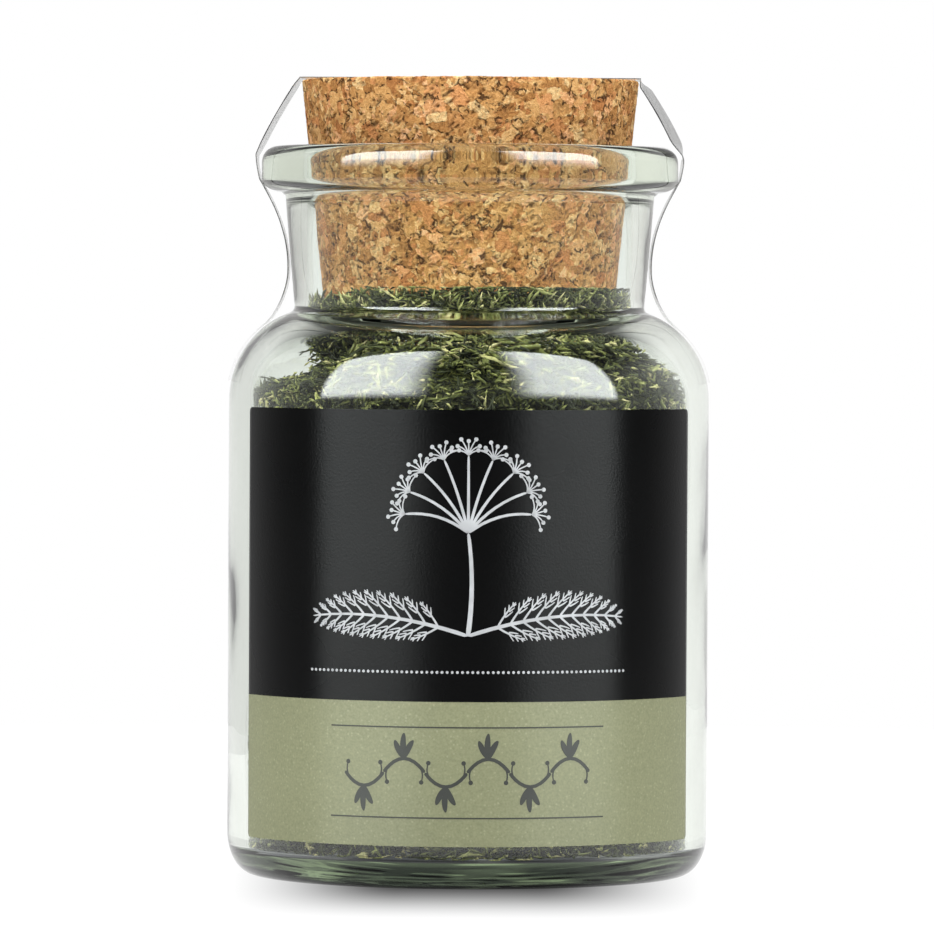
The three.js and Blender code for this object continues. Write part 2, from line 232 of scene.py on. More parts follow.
def cellField(points, size, seed):
    # one point is scattered in each cube of side size: the distances to the nearest and the next, in
    # cube sides, and the nearest one's own random number
    cell = np.floor(points / size)
    near = np.full(len(points), 9.0)
    following = near.copy()
    tone = np.zeros(len(points))
    for step in np.ndindex(3, 3, 3):
        corner = cell + np.array(step) - 1
        dice = diceAt(corner, seed)
        gap = np.linalg.norm(corner + dice - points / size, axis=1)
        closer = gap < near
        following = np.where(closer, near, np.minimum(following, gap))
        tone = np.where(closer, dice[:, 0] * 7 % 1, tone)
        near = np.where(closer, gap, near)
    return near, following, tone


# materials

def node(tree, kind, inputs=None, **settings):
    made = tree.nodes.new("ShaderNode" + kind)
    for key, value in settings.items():
        setattr(made, key, value)
    for key, value in (inputs or {}).items():
        if isinstance(value, bpy.types.NodeSocket):
            tree.links.new(value, made.inputs[key])
        else:
            made.inputs[key].default_value = value
    return made


def ramp(tree, value, stops):
    # stops are (place, colour) pairs
    made = node(tree, "ValToRGB", {"Fac": value})
    band = made.color_ramp
    while len(band.elements) < len(stops):
        band.elements.new(0.5)
    for element, (place, colour) in zip(band.elements, stops):
        element.position = place
        element.color = (*colour, 1)
    return made.outputs["Color"]


def mixColour(tree, factor, a, b, blend="MIX"):
    # a and b are colours, as three numbers or from a node
    a, b = ((*c, 1) if isinstance(c, tuple) else c for c in (a, b))
    return node(tree, "Mix", {0: factor, 6: a, 7: b}, data_type="RGBA", blend_type=blend).outputs[2]


def tinted(tree, colour, by):
    return mixColour(tree, 1.0, colour, by, "MULTIPLY")


def between(tree, factor, a, b):
    return node(tree, "Mix", {0: factor, 2: a, 3: b}, data_type="FLOAT").outputs[0]


def maths(tree, operation, a, b=0.5):
    return node(tree, "Math", {0: a, 1: b}, operation=operation).outputs[0]


def times(tree, a, b):
    return maths(tree, "MULTIPLY", a, b)


def spread(tree, value, low, high, toLow=0.0, toHigh=1.0, kind="LINEAR"):
    # low to high becomes toLow to toHigh, and nothing goes past them
    given = {"Value": value, "From Min": low, "From Max": high, "To Min": toLow, "To Max": toHigh}
    return node(tree, "MapRange", given, interpolation_type=kind).outputs["Result"]


def smoothly(tree, value, low, high, toLow=0.0, toHigh=1.0):
    return spread(tree, value, low, high, toLow, toHigh, "SMOOTHSTEP")


def noise(tree, place, scale, detail=2.0, distortion=0.0, roughness=0.5, output="Fac"):
    given = {"Vector": place, "Scale": scale, "Detail": detail}
    given |= {"Distortion": distortion, "Roughness": roughness}
    return node(tree, "TexNoise", given).outputs[output]


def axisOf(tree, vector, axis):
    return node(tree, "SeparateXYZ", {"Vector": vector}).outputs[axis]


def valueOf(tree, name):
    return node(tree, "Attribute", attribute_name=name).outputs["Fac"]


def newMaterial(name, values):
    material = bpy.data.materials.new(name)
    material.use_nodes = True
    tree = material.node_tree
    surface = tree.nodes["Principled BSDF"]
    for key, value in values.items():
        surface.inputs[key].default_value = value
    place = node(tree, "TexCoord").outputs["Object"]
    return material, tree, surface, place


def newGroup(name, values, result):
    # a group that takes a Vector and these values, and puts out one value
    group = bpy.data.node_groups.new(name, "ShaderNodeTree")
    group.interface.new_socket(name="Vector", in_out="INPUT", socket_type="NodeSocketVector")
    for key, value in values.items():
        socket = group.interface.new_socket(name=key, in_out="INPUT", socket_type="NodeSocketFloat")
        socket.default_value = value
    group.interface.new_socket(name=result, in_out="OUTPUT", socket_type="NodeSocketFloat")
    return group, group.nodes.new("NodeGroupInput").outputs, group.nodes.new("NodeGroupOutput").inputs


def makeMottleGroup():
    # uneven tone: a value that wanders between Low and High over spots of about 1 / Scale
    values = {"Scale": 200.0, "Detail": 3.0, "Low": 0.9, "High": 1.1}
    group, given, result = newGroup("mottle", values, "Value")
    cloud = noise(group, given["Vector"], given["Scale"], given["Detail"])
    group.links.new(spread(group, cloud, 0.25, 0.75, given["Low"], given["High"]), result["Value"])
    return group


mottleGroup = makeMottleGroup()


def mottle(tree, place, scale, low, high, detail=3.0):
    given = {"Vector": place, "Scale": scale, "Detail": detail, "Low": low, "High": high}
    return node(tree, "Group", given, node_tree=mottleGroup).outputs["Value"]


def letLampsThrough(tree, surface, share=1.0, faint=0.0):
    # lamps reach what stands behind clear glass or film; share is how much of their light comes through, and
    # faint how much of the sheet can't be seen at all
    shadowRay = node(tree, "LightPath").outputs["Is Shadow Ray"]
    through = maths(tree, "MAXIMUM", times(tree, shadowRay, share), faint)
    clear = node(tree, "BsdfTransparent").outputs["BSDF"]
    both = node(tree, "MixShader", {0: through, 1: surface.outputs["BSDF"], 2: clear}).outputs["Shader"]
    tree.links.new(both, tree.nodes["Material Output"].inputs["Surface"])


def bumpFrom(tree, surface, height, distance):
    made = node(tree, "Bump", {"Height": height, "Distance": distance, "Strength": 1.0})
    tree.links.new(made.outputs["Normal"], surface.inputs["Normal"])


def paint(tree, surface, colour):
    tree.links.new(colour, surface.inputs["Base Color"])


# the jar

jarShape = {
    "steps": 256,
    "wall": 2.6,
    "heel": (3.4, 5.2),  # the foot's rounding, across and up
    "footRing": 3.6,
    "punt": 3.0,  # the hollow under the base
    "shoulderStart": 59.2,
    "shoulderRadius": 11.6,
    "neckRadius": 21.85,
    "neckFlare": 1.2,  # wider at the top than at the shoulder by this
    "neckTop": 84.6,
    "neckBlend": 0.8,
    "bore": 20.4,
    "boreBlend": 1.2,
    "lipRadius": 26.0,
    "lipUnder": (2.6, 1.7),  # the rounding under the lip, across and up
    "lipStep": 0.5,  # from the neck's top up to that rounding
    "lipEdge": 2.0,
    "mouthEdge": 1.2,
    "floorEdge": 3.5,
    "floorCentre": 6.3,
    "floorBlend": 0.7,
    "innerRipple": 0.14,  # how far the inside of the wall wanders
    "outerRipple": 0.02,
    "baseRipple": 0.06,  # how unevenly the floor and the hollow are pressed
    "seed": 11,
    "clear": (0.965, 0.985, 0.97),
    "footShadeTint": ((0.06, 0.062, 0.075), (0.72, 0.76, 0.7)),  # painted shade, from one streak to the next
    "footBand": (0.0028, 0.0037),  # in metres, over which the foot's painted shade gives way to the clear walls
    "inside": (0.55, 0.71, 0.36),  # what a metre of glass takes away is told by this colour and the strength
    "strength": 24.0,
}
_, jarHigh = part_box("jar")
jarRadius = jarHigh.x / metre
jarHeight = jarHigh.z / metre
innerRadius = jarRadius - jarShape["wall"]
shoulderCentre = (jarRadius - jarShape["shoulderRadius"], jarShape["shoulderStart"])


def blendInto(bigRadius, wallRadius, blendRadius):
    # centre and contact angle of a small circle that touches a vertical wall's line and the shoulder's circle
    across = wallRadius + blendRadius - shoulderCentre[0]
    up = math.sqrt((bigRadius + blendRadius) ** 2 - across**2)
    return (wallRadius + blendRadius, shoulderCentre[1] + up), math.degrees(math.atan2(up, across))


def floorHeightAt(radius):
    # the floor swells to its middle as a parabola: centre - (centre - edge) (r / edge radius)^2
    s = jarShape
    share = np.minimum(radius / (innerRadius - s["floorBlend"]), 1)
    return s["floorCentre"] - (s["floorCentre"] - s["floorEdge"]) * share**2


def innerProfile():
    # the inside of the glass from the mouth's top corner down to the middle of the floor
    s = jarShape
    radius = s["shoulderRadius"] - s["wall"]
    blend, angle = blendInto(radius, s["bore"], s["boreBlend"])
    corner = (innerRadius - s["floorBlend"], s["floorEdge"] + s["floorBlend"])
    mouth = (s["bore"] + s["mouthEdge"], jarHeight - s["mouthEdge"])
    heights = np.linspace(mouth[1], blend[1], 20)[1:-1]
    wall = np.linspace(s["shoulderStart"], corner[1], 46)[1:-1]
    floor = np.linspace(corner[0], 0, 24)[1:]
    return np.concatenate([
        arcPoints(mouth, s["mouthEdge"], s["mouthEdge"], 90, 180, 8),
        np.stack([np.full(len(heights), s["bore"]), heights], -1),
        arcPoints(blend, s["boreBlend"], s["boreBlend"], 180, 180 + angle, 10),
        arcPoints(shoulderCentre, radius, radius, angle, 0, 24)[1:],
        np.stack([np.full(len(wall), innerRadius), wall], -1),
        arcPoints(corner, s["floorBlend"], s["floorBlend"], 0, -90, 12),
        np.stack([floor, floorHeightAt(floor)], -1),
    ])


def outerProfile():
    # the outside of the glass from the middle of the base up to the mouth's top corner
    s = jarShape
    footOuter = jarRadius - s["heel"][0]
    blend, angle = blendInto(s["shoulderRadius"], s["neckRadius"], s["neckBlend"])
    wall = np.linspace(s["heel"][1], s["shoulderStart"], 46)[1:-1]
    t = np.linspace(0, 1, 14)[1:]
    flare = np.stack([s["neckRadius"] + s["neckFlare"] * t, blend[1] + (s["neckTop"] - blend[1]) * t], -1)
    under = (s["lipRadius"] - s["lipUnder"][0], s["neckTop"] + s["lipUnder"][1] + s["lipStep"])
    rim = (s["lipRadius"] - s["lipEdge"], jarHeight - s["lipEdge"])
    return np.concatenate([
        arcPoints((0, 0), footOuter - s["footRing"], s["punt"], 90, 0, 12),
        arcPoints((footOuter, s["heel"][1]), *s["heel"], -90, 0, 16),
        np.stack([np.full(len(wall), jarRadius), wall], -1),
        arcPoints(shoulderCentre, s["shoulderRadius"], s["shoulderRadius"], 0, angle, 30),
        arcPoints(blend, s["neckBlend"], s["neckBlend"], 180 + angle, 180, 10)[1:],
        flare,
        arcPoints(under, *s["lipUnder"], -86, 0, 12),
        arcPoints(rim, s["lipEdge"], s["lipEdge"], 0, 90, 10),
    ])


insideLine = innerProfile()
wallLine = insideLine[:insideLine[:, 1].argmin() + 1][::-1]  # from the floor's edge up


def innerRadiusAt(height):
    return np.interp(height, wallLine[:, 1], wallLine[:, 0])


def makeGlass():
    # painted shade: the thick foot is painted darker than the walls, in streaks laid flat
    s = jarShape
    values = {"Roughness": 0.0, "IOR": 1.5, "Transmission Weight": 1.0}
    material, tree, surface, place = newMaterial("clear green-tinged glass", values)
    laid = node(tree, "VectorMath", {0: place, 1: (1, 1, 9)}, operation="MULTIPLY").outputs[0]
    streak = spread(tree, noise(tree, laid, 75.0, 1.5), 0.54, 0.73)
    above = spread(tree, axisOf(tree, place, "Z"), *s["footBand"])
    # the foot's darker streaks are painted shade for the dark seen through the thick base
    paint(tree, surface, mixColour(tree, above, mixColour(tree, streak, *s["footShadeTint"]), s["clear"]))
    bumpFrom(tree, surface, noise(tree, place, 90.0, 1.0), 0.00006)
    letLampsThrough(tree, surface)
    depth = node(tree, "VolumeAbsorption", {"Color": (*s["inside"], 1), "Density": s["strength"]})
    tree.links.new(depth.outputs["Volume"], tree.nodes["Material Output"].inputs["Volume"])
    return material


def makeJar():
    # the glass's outside and inside are one closed profile; both wander by sums of sines between the foot
    # and the shoulder, the inside further, so that the wall's thickness varies
    s = jarShape
    outside = outerProfile()
    profile = np.concatenate([outside, insideLine])
    isInside = np.arange(len(profile))[1:-1, None] >= len(outside)

    def wander(r, z, t):
        band = smoothStep(6, 14, z) * (1 - smoothStep(62, 69, z))
        inner = s["innerRipple"] * (0.5 + 0.5 * ripple(t, z, 9, s["seed"])) * band
        outer = s["outerRipple"] * (np.minimum(ripple(t, z, 6, s["seed"] + 1), 0.8) - 1) * band
        middle = smoothStep(jarRadius - 5, jarRadius - 9, r) * smoothStep(0.2, 1.4, z) * (z < 8)
        uneven = s["baseRipple"] * swell(r * np.cos(t), r * np.sin(t), 9, s["seed"] + 2) * middle
        return r + np.where(isInside, inner, outer), z + uneven

    points, faces = revolve(profile, s["steps"], wander)
    meshPiece("jar_glass", points, faces, makeGlass(), "jar")


makeJar()
print("jar made")


# the cork

corkShape = {
    "topRadius": 21.05,
    "bottomRadius": 18.3,
    "edge": 0.3,
    "columns": 420,
    "rows": 100,
    "pitSize": 1.5,  # the side of the cubes that a pit is scattered in
    "pitShare": 0.4,
    "pitWidth": (0.12, 0.22),  # in those sides: the least, and the most that is added to it
    "pitDepth": 0.5,
    "crackDepth": 0.16,
    "crumbSize": 0.9,
    "crumbDepth": 0.14,
    "holeDepth": 0.25,
    "seed": 5,
    "tans": [
        (0.0, (0.39, 0.17, 0.048)), (0.2, (0.53, 0.252, 0.076)), (0.5, (0.67, 0.355, 0.12)),
        (0.8, (0.79, 0.469, 0.187)), (1.0, (0.92, 0.65, 0.31)),
    ],
    "blush": (1.03, 0.88, 0.92),
    "dark": (0.06, 0.022, 0.007),
    "pressed": 1.29,  # painted light: how much paler the cork is painted inside the glass neck
    "neckLightBand": (0.084, 0.09),  # in metres, over which that painted light ends
}
corkLow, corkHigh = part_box("cork")
corkTop, corkBottom = corkHigh.z / metre, corkLow.z / metre
corkTopRadius = corkShape["topRadius"]


def makeCorkMaterial():
    # large crumbs with patches of small ones between them, each crumb with its own tan and blush, and dark
    # gaps along parts of their borders
    s = corkShape
    values = {"Roughness": 0.9, "Specular IOR Level": 0.08}
    material, tree, surface, place = newMaterial("pressed cork", values)
    bend = noise(tree, place, 1100.0, 3.0, output="Color")
    shifted = node(tree, "MixRGB", {0: 0.001, 1: place, 2: bend}, blend_type="ADD").outputs[0]

    def crumbs(scale, gapWidth):
        given = {"Vector": shifted, "Scale": scale}
        colour = node(tree, "TexVoronoi", given).outputs["Color"]
        border = node(tree, "TexVoronoi", given, feature="DISTANCE_TO_EDGE").outputs["Distance"]
        dice = node(tree, "SeparateColor", {"Color": colour}).outputs
        return dice["Red"], dice["Green"], spread(tree, border, 0.2 * gapWidth, gapWidth, 1.0, 0.0)

    large, small = crumbs(560.0, 0.085), crumbs(1450.0, 0.16)
    broken = spread(tree, noise(tree, place, 420.0), 0.5, 0.54)
    own, reddening, border = (between(tree, broken, a, b) for a, b in zip(large, small))
    fibre = noise(tree, shifted, 3000.0, 3.0, roughness=0.65)
    own = spread(tree, own, 0.0, 1.0, 0.06, 0.94)
    tone = maths(tree, "ADD", own, spread(tree, fibre, 0.3, 0.7, -0.27, 0.27))
    blush = mixColour(tree, spread(tree, reddening, 0.62, 0.8), (1, 1, 1), s["blush"])
    tan = tinted(tree, ramp(tree, tone, s["tans"]), blush)
    parting = noise(tree, place, 700.0, 5.0, 1.6)
    gap = times(tree, border, spread(tree, parting, 0.5, 0.62))
    holes = maths(tree, "MAXIMUM", gap, spread(tree, parting, 0.62, 0.66))
    dark = maths(tree, "MAXIMUM", holes, valueOf(tree, "pit"))
    tan = mixColour(tree, times(tree, dark, 0.92), tan, s["dark"])
    # painted light: the cork is painted paler inside the glass neck, fading out above it
    pressed = spread(tree, axisOf(tree, place, "Z"), *s["neckLightBand"], s["pressed"], 1.0)
    paint(tree, surface, tinted(tree, tan, pressed))
    relief = maths(tree, "ADD", times(tree, tone, 0.5), times(tree, fibre, 0.5))
    bumpFrom(tree, surface, maths(tree, "SUBTRACT", relief, dark), 0.00026)
    return material


def makeCork():
    # a tapered plug turned about Z, radius rising evenly with height; pits, cracks between the crumbs and
    # the crumbs' own lumps are taken off along the normal
    s = corkShape
    edge = s["edge"]
    lowCorner = (s["bottomRadius"] - edge, corkBottom + edge)
    highCorner = (corkTopRadius - edge, corkTop - edge)
    side = np.linspace(0, 1, s["rows"])[1:-1, None]
    foot, brim = np.array([s["bottomRadius"], lowCorner[1]]), np.array([corkTopRadius, highCorner[1]])
    across = np.linspace(highCorner[0], 0, 46)[1:, None]
    profile = np.concatenate([
        [(0, corkBottom), (6, corkBottom), (12, corkBottom), (15, corkBottom)],
        arcPoints(lowCorner, edge, edge, -90, 0, 4),
        foot * (1 - side) + brim * side,
        arcPoints(highCorner, edge, edge, 0, 90, 4),
        np.concatenate([across, np.full_like(across, corkTop)], 1),
    ])
    points, faces = revolve(profile, s["columns"])
    normal = np.concatenate([turnedRows(outOf(profile)[1:-1], s["columns"]), [(0, 0, -1), (0, 0, 1)]])
    bent = points + 0.5 * np.sin(points[:, [1, 2, 0]] * 1.9) + 0.25 * np.sin(points[:, [2, 0, 1]] * 4.3)
    near, following, tone = cellField(bent, s["pitSize"], s["seed"])
    least, added = s["pitWidth"]
    pits = (tone < s["pitShare"]) * smoothStep(1, 0, near / (least + added * (tone * 13 % 1)))
    x, y, z = points.T
    patches = np.sin(x * 0.7 + 2) * np.sin(z * 0.6) * np.sin(y * 0.8 + 1)
    cracks = smoothStep(0.09, 0.0, following - near) * smoothStep(0.35, 0.6, 0.5 + 0.5 * patches)
    fineNear, fineNext, fineTone = cellField(bent, s["crumbSize"], s["seed"] + 1)
    crumbs = fineTone * smoothStep(0, 0.2, fineNext - fineNear)
    fineHoles = (fineTone > 0.9) * smoothStep(0.5, 0.2, fineNear)
    depth = s["pitDepth"] * pits + s["crackDepth"] * cracks
    depth += s["crumbDepth"] * (1 - crumbs) * 0.5 + s["holeDepth"] * fineHoles
    points = points - normal * depth[:, None]
    dark = np.clip(pits * 1.2 + 0.55 * cracks + 0.9 * fineHoles, 0, 1)
    meshPiece("cork_plug", points, faces, makeCorkMaterial(), "cork", {"pit": dark})


makeCork()
print("cork made")


# the dill

dillHeap = {
    "seed": 4127,
    "wallGap": 0.42,
    "floorGap": 0.3,
    "wallTop": 60.9,
    "slope": [  # (r, z) from the wall in to the neck, and up beside the cork
        (24.6, 61.8), (21.2, 63.1), (19.2, 64.5), (18.4, 66.2), (19.5, 68.5), (20.1, 69.5), (18.8, 70.4),
    ],
    "neck": 18.8,
    "neckTop": 71.9,
    "slopeTilt": 1.0,  # the heap lies higher on the +X side
    "frontRise": 3.2,  # and against the glass in front
    "sprigs": 6800,
    "leaflets": 4,  # on each sprig
    "sprigSize": ((1.3, 3.2), (0.32, 0.54)),  # from the least length and width to the most
    "loose": 21000,
    "looseSize": ((0.8, 2.3), (0.28, 0.5)),
    "stalks": 500,
    "stalkSize": ((2.4, 5.0), (0.45, 0.75)),
    "inNeck": 800,  # standing up between the cork and the glass
    "neckSize": ((0.8, 2.2), (0.28, 0.45)),
    "layer": 2.2,  # how deep the separate threads lie
    "coreDepth": 1.9,
    "coreColumns": 120,
    "dentSize": 2.2,
    "dentDepth": (0.9, 0.35),  # of the cells and of the waves
    "clear": 0.12,  # between the threads and the glass
    "greens": [
        (0.0, (0.009, 0.011, 0.002)), (0.3, (0.03, 0.037, 0.006)), (0.55, (0.085, 0.1, 0.019)),
        (0.78, (0.24, 0.265, 0.066)), (0.9, (0.45, 0.47, 0.16)), (1.0, (0.72, 0.66, 0.33)),
    ],
    # from the near-black painted shade between the packed streaks up to their leaf colour
    "packedGreensAndShade": [
        (0.42, (0.006, 0.008, 0.002)), (0.51, (0.026, 0.032, 0.007)), (0.57, (0.085, 0.098, 0.022)),
        (0.65, (0.2, 0.22, 0.057)), (0.78, (0.4, 0.41, 0.14)),
    ],
}


def heapOutline():
    # (r, z) from the middle of the floor, out and up the glass, in to the neck and up to the cork
    s = dillHeap
    corner = (innerRadius - jarShape["floorBlend"], jarShape["floorEdge"] + jarShape["floorBlend"])
    wallRadius = innerRadius - s["wallGap"]
    reach = wallRadius - corner[0]
    floor = np.linspace(0, corner[0], 8)[:-1]
    return np.concatenate([
        np.stack([floor, floorHeightAt(floor) + s["floorGap"]], -1),
        arcPoints(corner, reach, corner[1] - jarShape["floorEdge"] - s["floorGap"], -90, 0, 6),
        [(wallRadius, s["wallTop"])],
        s["slope"],
        [(s["neck"], s["neckTop"]), (0, s["neckTop"])],
    ])


def onHeap(count, dice, weights):
    # places spread over the turned outline: a stretch of it takes threads by its length times its mean
    # radius times the weight of its height and of its side
    s = dillHeap
    fine = refined(heapOutline(), 24)
    step = np.diff(fine, axis=0)
    length = np.hypot(*step.T)
    middle = (fine[1:] + fine[:-1]) / 2
    share = np.concatenate([[0], np.cumsum(length * middle[:, 0] * weights(middle))])
    along = np.interp(dice.random(count) * share[-1], share, np.arange(len(share)))
    k = np.minimum(along.astype(int), len(step) - 1)
    at = fine[k] + step[k] * (along - k)[:, None]
    out = np.stack([step[k, 1], -step[k, 0]], -1) / length[k][:, None]
    turn = dice.random(count) * 2 * np.pi
    onSlope = smoothStep(27, 24, at[:, 0]) * smoothStep(17.5, 19, at[:, 0]) * (at[:, 1] > 60)
    onLeft = np.cos(turn) < 0
    begin = np.where(onLeft, 0.55, 0.1)
    front = smoothStep(begin, begin + np.where(onLeft, 0.3, 0.7), -np.sin(turn))
    lump = s["slopeTilt"] * np.cos(turn) + s["frontRise"] * front + 0.7 * ripple(turn, at[:, 0], 6, 3)
    at[:, 1] += onSlope * lump
    return (np.stack([r * np.cos(turn), r * np.sin(turn), z], -1) for r, z in (at.T, out.T))


def threadWeights(middle):
    # most of them where the heap shows, low on the wall and through the shoulder and the neck, and few
    # under the cork
    r, z = middle.T
    weight = np.where((z > 60.5) | (z < 7), 2.6, 1.0)
    weight = np.where((z > 71.5) & (r < 16), 0.1, weight)
    return np.where((z < 7) & (r < 18), 1.2, weight)


def holdInside(points, margin):
    # points keep this margin off the glass and the cork: lifted off the floor, kept below the cork's end or
    # beside it, and drawn in to the wall's radius at their height
    clear = dillHeap["clear"] + margin
    radius = np.hypot(points[..., 0], points[..., 1])
    under = np.where(radius < corkShape["bottomRadius"] + 0.4, corkBottom - 0.1, corkBottom + 1.1) - margin
    z = np.clip(points[..., 2], floorHeightAt(radius) + clear, under)
    limit = innerRadiusAt(z) - clear
    scale = np.minimum(1, limit / np.maximum(radius, 1e-6))
    return np.stack([points[..., 0] * scale, points[..., 1] * scale, z], -1)


def bentLine(start, heading, curl, length, bend, s):
    # start + length (s heading + bend s^2 curl)
    way = s[..., None] * heading[:, None] + (bend[:, None] * s**2)[..., None] * curl[:, None]
    return start[:, None] + length[:, None, None] * way


def threads(start, heading, curl, length, bend, width, twist):
    # each is a bent line at s = 0, 0.5 and 1: round the first two points stand three corners at 0.6 and 1.0
    # of half the width, and the third point is the tip
    path = bentLine(start, heading, curl, length, bend, np.array([[0, 0.5, 1.0]]))
    path = holdInside(path, width[:, None] / 2)
    angle = twist[:, None] + np.arange(3) * 2 * np.pi / 3
    across = np.cross(heading, curl)
    spokes = np.cos(angle)[..., None] * curl[:, None] + np.sin(angle)[..., None] * across[:, None]
    radius = np.array([0.6, 1.0]) * width[:, None] / 2
    rings = path[:, :2, None] + radius[..., None, None] * spokes[:, None]
    points = np.concatenate([rings.reshape(len(start), 6, 3), path[:, 2:]], 1)
    k = np.arange(3)
    n = (k + 1) % 3
    sides = np.stack([k, n, 3 + n, 3 + k], -1)
    ends = np.array([[3, 4, 6], [4, 5, 6], [5, 3, 6], [2, 1, 0]])
    first = 7 * np.arange(len(start))[:, None, None]
    return points.reshape(-1, 3), [(first + sides).reshape(-1, 4), (first + ends).reshape(-1, 3)]


def directionsOn(normal, dice, lift):
    # a random way along the surface, tipped off it by lift, with a way across it to curl in
    def squareTo(way, axis):
        return unit(way - np.einsum("ij,ij->i", way, axis)[:, None] * axis)

    flat = squareTo(dice.normal(size=normal.shape), normal)
    heading = unit(flat + lift[:, None] * normal)
    sway = dice.uniform(-1, 1, len(normal))[:, None]
    curl = np.cross(normal, heading) * np.sign(sway) + 0.6 * sway * normal
    return heading, squareTo(curl, heading)


def growSprigs(dice):
    # a rib with leaflets forking off it to both sides, each leaflet's foot on the rib's own curve
    count, each = dillHeap["sprigs"], dillHeap["leaflets"]
    lengths, widths = dillHeap["sprigSize"]
    total, grid = count * each, (count, each)
    place, normal = onHeap(count, dice, threadWeights)
    place = place - normal * (dillHeap["layer"] * dice.random(count) ** 1.4)[:, None]
    heading, curl = directionsOn(normal, dice, dice.uniform(-0.1, 0.45, count))
    length = dice.uniform(*lengths, count)
    bend = dice.uniform(0.0, 0.45, count)
    width = dice.uniform(*widths, count)
    tone = dice.random(count)
    rib = (place, heading, curl, length, bend, width, dice.uniform(0, 6, count), tone)
    s = np.linspace(0.18, 0.8, each)[None] + dice.uniform(-0.06, 0.06, grid)
    foot = bentLine(place, heading, curl, length, bend, s)
    side = np.where(np.arange(each) % 2, 1.0, -1.0)[None] * dice.uniform(0.45, 1.0, grid)
    across = np.cross(heading, curl)[:, None]
    lean = dice.uniform(-0.35, 0.35, grid)
    fork = unit(heading[:, None] + side[..., None] * curl[:, None] + lean[..., None] * across)
    forkCurl = unit(np.cross(fork, across + 0.01))
    leafTone = np.clip(np.repeat(tone, each) + dice.uniform(-0.12, 0.12, total), 0, 1)
    leaflets = (
        foot.reshape(-1, 3), fork.reshape(-1, 3), forkCurl.reshape(-1, 3),
        np.repeat(length, each) * dice.uniform(0.3, 0.6, total), dice.uniform(-0.3, 0.3, total),
        np.repeat(width, each) * dice.uniform(0.6, 0.9, total), dice.uniform(0, 6, total), leafTone,
    )
    return [rib, leaflets]


def growLoose(dice, count, size, tones):
    # single threads on the heap, with size a pair of lengths and a pair of widths
    lengths, widths = size
    place, normal = onHeap(count, dice, threadWeights)
    place = place - normal * (dillHeap["layer"] * 0.8 * dice.random(count))[:, None]
    heading, curl = directionsOn(normal, dice, dice.uniform(-0.1, 0.3, count))
    return (place, heading, curl, dice.uniform(*lengths, count), dice.uniform(0, 0.35, count),
            dice.uniform(*widths, count), dice.uniform(0, 6, count), dice.uniform(*tones, count))


def growInNeck(dice):
    # short pieces that stand up in the gap round the cork's lower end
    count = dillHeap["inNeck"]
    lengths, widths = dillHeap["neckSize"]
    turn = dice.random(count) * 2 * np.pi
    reach = dice.uniform(19.0, 19.9, count)
    out = np.stack([np.cos(turn), np.sin(turn), np.zeros(count)], -1)
    place = out * reach[:, None]
    place[:, 2] = dice.uniform(69.8, 71.9, count)
    sway = dice.normal(size=(count, 3)) * (0.6, 0.6, 0.3)
    heading = unit(np.array([0, 0, 0.8]) + sway)
    curl = unit(np.cross(heading, out))
    return (place, heading, curl, dice.uniform(*lengths, count), dice.uniform(0, 0.4, count),
            dice.uniform(*widths, count), dice.uniform(0, 6, count), dice.uniform(0.45, 1.0, count))


def makeDillMaterial():
    values = {"Roughness": 0.62, "Specular IOR Level": 0.25}
    material, tree, surface, place = newMaterial("dried dill", values)
    green = ramp(tree, valueOf(tree, "tone"), dillHeap["greens"])
    paint(tree, surface, tinted(tree, green, mottle(tree, place, 700.0, 0.7, 1.3)))
    bumpFrom(tree, surface, noise(tree, place, 4200.0), 0.00005)
    return material


def makePackedMaterial():
    # the deeper dill: short crooked streaks of leaf colour on painted shade between them
    values = {"Roughness": 0.8, "Specular IOR Level": 0.15}
    material, tree, surface, place = newMaterial("packed dill", values)
    # the near-black between the streaks is painted shade
    streaks = noise(tree, place, 620.0, 4.0, 2.6)
    tone = maths(tree, "ADD", streaks, valueOf(tree, "tone"))
    paint(tree, surface, ramp(tree, tone, dillHeap["packedGreensAndShade"]))
    bumpFrom(tree, surface, streaks, 0.0008)
    return material


def makeDill():
    # all threads are grown together and then shared out by place; behind the label one in eight is kept
    dice = np.random.default_rng(dillHeap["seed"])
    material = makeDillMaterial()
    sprigs = growSprigs(dice)
    loose = growLoose(dice, dillHeap["loose"], dillHeap["looseSize"], (0.0, 1.0))
    stalks = growLoose(dice, dillHeap["stalks"], dillHeap["stalkSize"], (0.75, 1.0))
    grown = [np.concatenate(parts) for parts in zip(*sprigs, loose, stalks, growInNeck(dice))]
    start = grown[0]
    turn = np.degrees(np.arctan2(start[:, 0], -start[:, 1]))  # 0 in front, growing towards +X
    onTop = start[:, 2] > 60.4
    behindLabel = (np.abs(turn) < 58) & (start[:, 2] > 7.5) & (start[:, 2] < 57)
    keep = ~behindLabel | (np.arange(len(start)) % 8 == 0)
    shares = {
        "dill_top_front": onTop & (start[:, 1] < 0),
        "dill_top_back": onTop & (start[:, 1] >= 0),
        "dill_side_right": ~onTop & (turn > 0),
        "dill_side_left": ~onTop & (turn <= 0),
    }
    for name, mask in shares.items():
        chosen = [part[mask & keep] for part in grown]
        points, faces = threads(*chosen[:7])
        tone = np.repeat(chosen[7] ** 1.25, 7)
        meshPiece(name, points, faces, material, "dill", {"tone": tone})
        print(name, len(chosen[0]), "threads")


